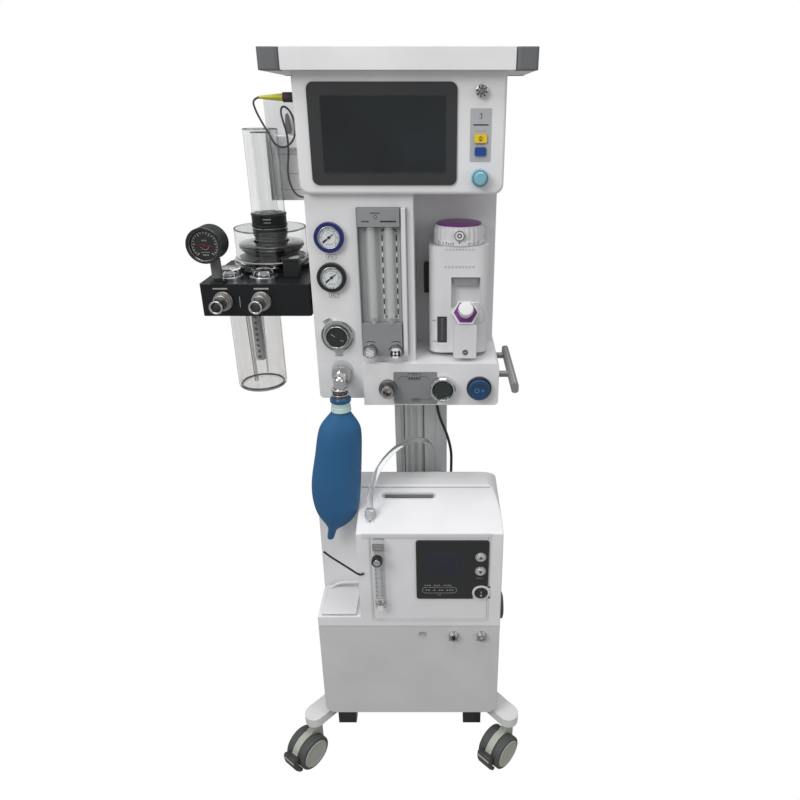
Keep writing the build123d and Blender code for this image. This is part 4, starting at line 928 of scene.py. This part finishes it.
# -------------------------------------------------------------- the cabinet
frame_ring("cabinet_panel_line", 105, 493, (236, 212), 8, 2.2, CABINET_FACE, 0.8, WHITE_PLASTIC)
frame_ring("cabinet_panel_inner_line", 105, 493, (228, 204), 7, 0.8, CABINET_FACE, 0.3, SEAM_AND_SHADE_GREY)
plate("cabinet_brow", 93, 600, [(-118, 2), (131, 2), (134, -2), (128, -6.2), (120, -8), (-118, -8)],
    CABINET_FACE, 2.2, WHITE_PLASTIC, bevel=1)
bars("cabinet_shadow_gap", [(62, 371.8, 364, 1.2, 0)], CABINET_FACE + 0.6, 0.4, SEAM_AND_SHADE_GREY)
# Painted shade: a grey line along the crease of the cabinet top.
wire("cabinet_crease_shade_line", [(-35, -92.2, 630.3), (228, -92.2, 630.3)], 1, SEAM_AND_SHADE_GREY)
# Painted shade: grey sheets on the walls and floor of the handle slot.
for name, y, depth, low_z, high_z in (("front", -120.8, 0.6, 585, 617.5),
    ("back", -105.8, 0.6, 585, 621.5), ("floor", -120.8, 15.6, 585, 586)):
    slabs(f"handle_slot_shade_{name}", [(x, side_y, z) for side_y in (y, y + depth) for x,
        z in ((10, low_z), (114, low_z), (114, high_z), (10, high_z))], RECESS_SHADE_GREY)

LCD_X, LCD_Z = 133.5, 532
tile("lcd_window", LCD_X, LCD_Z, (66, 52, 1.5), DISPLAY_FACE, 0.3, LCD)
frame_ring("key_row_outline", 124, 468, (68, 15), 7.3, 0.6, DISPLAY_FACE, 0.2, LIGHT_GREY)
bars("key_row_print", [(98 + 5.2 * i, 468, 3.4, 1.6, 0) for i in (0, 1, 3, 5, 6, 8, 9, 10)]
    + [(96 + 4.6 * i, 480, 3, 1.1, 0) for i in (0, 1, 2, 4, 5, 6, 8, 9, 10, 11)]
    + row(2, 122, 4, 456, 2.6, 1) + row(4, 198, 3.6, 497.5, 2.4, 0.9), DISPLAY_FACE, 0.2, LIGHT_GREY)
for body, sign in (("up_button", 1), ("down_button", -1)):
    spot = centre(body)
    face_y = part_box(body)[0].y / MM
    ring(f"{body}_bezel", spot.x, spot.z, 10.5, 8.8, DISPLAY_FACE, 0.8, LIGHT_GREY)
    lathe(f"{body}_cap", [(8.5, 0), (8.5, 1), (7.4, 2.3), (0, 2.3)], (spot.x, face_y + 2.3, spot.z),
        "Y", SILVER_PAINT, body, replaces=(body,))
    plate(f"{body}_triangle", spot.x, spot.z, [(-3.8, -2.4 * sign), (3.8, -2.4 * sign),
        (0, 3.4 * sign)], face_y, 0.2, MARKS, body, bevel=0)
ROCKER = centre("power_rocker")
ROCKER_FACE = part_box("power_rocker")[0].y / MM
ring("rocker_surround", ROCKER.x, ROCKER.z, 17.8, 12.8, CABINET_FACE, 3.6, WHITE_PLASTIC)
ring("rocker_case", ROCKER.x, ROCKER.z, 13.4, 12.2, CABINET_FACE, 4.6, BLACK)
lathe("rocker_paddle", [(11.9, 0.2), (11.9, 3), (10.8, 3.8), (0, 3.8)],
    (ROCKER.x, ROCKER_FACE + 3.8, ROCKER.z), "Y", BLACK_GLASS, "power_rocker",
    replaces=("power_rocker",))
bars("rocker_line", [(ROCKER.x, ROCKER.z + 3.5, 4.6, 0.9, 90)], ROCKER_FACE, 0.2, WHITE_MARKS,
    "power_rocker")
arcs("rocker_circle", ROCKER.x, ROCKER.z - 4.5, [(1.4, 2.1, 0, CLOSED)], ROCKER_FACE, 0.2, WHITE_MARKS,
    "power_rocker")
for index, screw_z in enumerate((473.5, 447.5)):
    disc(f"panel_screw_{index}", 222.5, screw_z, 2.6, CABINET_FACE, 1.2, DARK_STEEL)
OUT_X = centre("outlet_float").x
TUBE_FACE = -225
tile("outlet_tube_head", OUT_X, 580, (21.5, 18, 2), TUBE_FACE, 1.2, STEEL, bevel=0.4)
bars("outlet_tube_head_print", row(4, OUT_X - 6, 4, 583, 3, 1.6) + row(3, OUT_X - 4, 4, 576.5, 2.6, 3,
    60), TUBE_FACE - 1.2, 0.2, LIGHT_GREY)
bars("outlet_tube_ticks", [(OUT_X + 4.5, 464 + 4.2 * i, 5 if i % 5 else 8, 0.6, 0) for i in range(17)]
    + [(OUT_X - 6, 464 + 10.5 * i, 2.8, 1.6, 0) for i in range(7)], TUBE_FACE, 0.2, MARKS)
tile("outlet_tube_valve", OUT_X, 447.5, (19, 14, 4), TUBE_FACE, 2.4, STEEL, bevel=0.8)
disc("outlet_tube_valve_left", OUT_X - 5, 447.5, 3.8, TUBE_FACE - 2.4, 1.4, CHROME)
disc("outlet_tube_valve_right", OUT_X + 5.2, 449, 3, TUBE_FACE - 2.4, 1.4, CHROME)
tile("outlet_tube_backing", OUT_X, 505, (18, 150, 4), CABINET_FACE - 0.2, 0.8, LIGHT_GREY, bevel=0)
tile("outlet_tube_foot", OUT_X, 430, (12, 15, 4), TUBE_FACE, 1, WHITE_MARKS, bevel=0.4)
FLOW_KNOB = centre("outlet_flow_knob")
lathe("outlet_knob_ring", [(10.5, 0), (10.5, 11), (9.5, 12.5), (7.2, 12.5), (7.2, 10.8), (0, 10.8)],
    (FLOW_KNOB.x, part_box("outlet_flow_knob")[1].y / MM, FLOW_KNOB.z), "Y", BLACK, "outlet_flow_knob",
    flutes=(20, 0.05, (0, 1)), replaces=("outlet_flow_knob",))
disc("outlet_knob_cap", FLOW_KNOB.x, FLOW_KNOB.z, 7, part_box("outlet_flow_knob")[1].y / MM - 10.7, 2.2, CHROME,
    "outlet_flow_knob")
SOCKET = Vector(HOSE_ROUTE[0]) / MM
lathe("hose_socket_flange", [(0, 0), (15, 0), (15, 3), (13.5, 4.2), (10.2, 4.2), (10.2, 2), (0, 2)],
    (SOCKET.x, SOCKET.y, 603.5), "Z", CLEAR_TINT)
lathe("hose_socket_body", [(6, 0), (10.4, 0), (11.2, 3), (10.4, 6), (10.4, 12), (8.5, 15), (6, 15),
    (6, 0)], (SOCKET.x, SOCKET.y, 613), "Z", CLEAR_TINT)
for index in range(3):
    lathe(f"hose_socket_screw_{index}", [(1.8, 0), (1.8, 1.2), (0, 1.4)],
        (SOCKET.x + 11.5 * cos(radians(120 * index + 30)), SOCKET.y + 11.5 * sin(radians(120 * index
        + 30)), 607.2), "Z", DARK_STEEL, steps=12)
plate("bay_shelf_pad", -79, 399, [(-37, 0), (34, 0), (34, 4), (-37, 4)], -126, 82, WHITE_PLASTIC,
    bevel=1.5)
wire("bay_shelf_wave", [(-118, -130, 404), (-105, -130, 404.5), (-98, -129, 411), (-86, -128, 415),
    (-68, -128, 416), (-44, -128, 416)], 3, WHITE_PLASTIC)
STRAP = ((-101, -204, 554), (-90, -207, 545), (-61, -211, 526), (-40, -212, 509), (-33, -213, 505),
    (-27, -213, 506), (-24, -212, 507.5))
wire("bottle_strap", STRAP, 2, MARKS)
lathe("small_port", [(0, 0.6), (5.8, 0.4), (6.6, 2.2), (7.2, 0.4), (7.8, 0)], (89, CABINET_FACE, 352),
    "Y", LIGHT_GREY)
arcs("small_port_shade", 89, 352.2, [(5.6, 7, 15, 165)], CABINET_FACE - 1.6, 0.8, GREY_MARKS)
for index, fitting_x in enumerate((153, 210)):
    lathe(f"lower_fitting_{index}", [(10.2, 0), (10.4, 2), (10.4, 8.6), (8.6, 9.8), (6, 9.8), (5.2, 5),
        (0, 5)], (fitting_x, CABINET_FACE - 0.2, FITTING_Z), "Y", STEEL, steps=72,
        flutes=(6, 0.10, (1, 2)))
    disc(f"lower_fitting_core_{index}", fitting_x, FITTING_Z, 3.6, CABINET_FACE - 5, 6,
        MARKS if index == 0 else CHROME)
    bars(f"lower_fitting_print_{index}", row(5, fitting_x - 8, 4, 334, 3.2, 2.4), CABINET_FACE, 0.2,
        GREY_MARKS)

# ----------------------------------------------------- base, column and rail
for corner, turn in CORNERS.items():
    wheels = centre(f"wheels_{corner}")
    axle = Vector((cos(radians(turn)), -sin(radians(turn)), 0))
    ahead = Vector((sin(radians(turn)), cos(radians(turn)), 0))
    for side_name, sign in (("left", -1), ("right", 1)):
        AXES["hub"] = (ahead, Vector((0, 0, 1)), axle * sign)
        face = wheels + axle * 27.5 * sign
        lathe(f"hub_{corner}_{side_name}", [(30.5, -1), (30.5, 0.6), (29, 1.6), (27.8, 1), (12, 1.6),
            (0, 1.8)], face, "hub", OLIVE, f"wheels_{corner}", steps=48)
    if turn:
        points = []
        for step in range(9):
            angle = radians(-42 + 8 * step)
            reach = -ahead * cos(angle) + Vector((0, 0, sin(angle)))
            outer = 46.5 + 1.2 * step
            for radius, across in ((39.2, -17.5), (39.2, 17.5), (outer, 17), (outer, -17)):
                points.append(wheels + reach * radius + axle * across)
        solid(f"pedal_{corner}", points, strips(9, 4) + [lid(0, 4), lid(8, 4)], PEDAL,
            f"castor_{corner}", bevel=2.5)
# Painted light and shade along the column's grooves: a light grey line between two shade grey ones.
for index, x in enumerate((48, 68, 90)):
    bars(f"column_groove_light_and_shade_{index}", [(x, 474, 705, 2, 90)], 26.2, 0.6,
        LIGHT_GREY if index % 2 else SHADE_GREY)
tile("column_cover", 127, 474, (24, 708, 3), 29, 4, COVER_GREY, bevel=1.5)
lathe("cord_connector", [(3, 0), (6, 1), (6.4, 6), (5, 20), (3, 24), (3, 0)], (117, 8, 781), "Z", BLACK,
    steps=24)
for index, z in enumerate((876.5, 894.5)):
    wire(f"rail_edge_{index}", [(234 + 24.5, -166, z), (234 + 24.5, 22, z)], 0.8, LIGHT_GREY)

# -------------------------------------------------------- lights and backdrop
LIT_SPOT = Vector((0, 0, 0.8))
LIGHTS = (
    # name, place, size, power
    ("key_softbox", (-1.5, -1.9, 2.6), 1.3, 36),
    ("fill_softbox", (2.2, -1.6, 1.7), 1.6, 8),
    ("top_softbox", (0.1, -0.4, 3.2), 1.6, 37),
)
for name, place, size, power in LIGHTS:
    data = bpy.data.lights.new(name, "AREA")
    data.size = size
    data.energy = power
    lamp = bpy.data.objects.new(name, data)
    lamp.location = place
    lamp.rotation_euler = (LIT_SPOT - Vector(place)).to_track_quat("-Z", "Y").to_euler()
    bpy.context.scene.collection.objects.link(lamp)
WORLD_LIGHT = 0.35
WORLD_SEEN = 1.0
world = bpy.data.worlds.new("studio")
bpy.context.scene.world = world
world.use_nodes = True
tree = world.node_tree
backdrop = tree.nodes["Background"]
backdrop.inputs["Color"].default_value = (1, 1, 1, 1)
rays = add(tree, "LightPath")
strength = add(tree, "MapRange", To_Min=WORLD_LIGHT, To_Max=WORLD_SEEN)
seen = add(tree, "Math")
seen.operation = "MAXIMUM"
tree.links.new(rays.outputs["Is Camera Ray"], seen.inputs[0])
tree.links.new(rays.outputs["Is Transmission Ray"], seen.inputs[1])
tree.links.new(seen.outputs["Value"], strength.inputs["Value"])
tree.links.new(strength.outputs["Result"], backdrop.inputs["Strength"])
bpy.context.scene.view_settings.view_transform = "Standard"
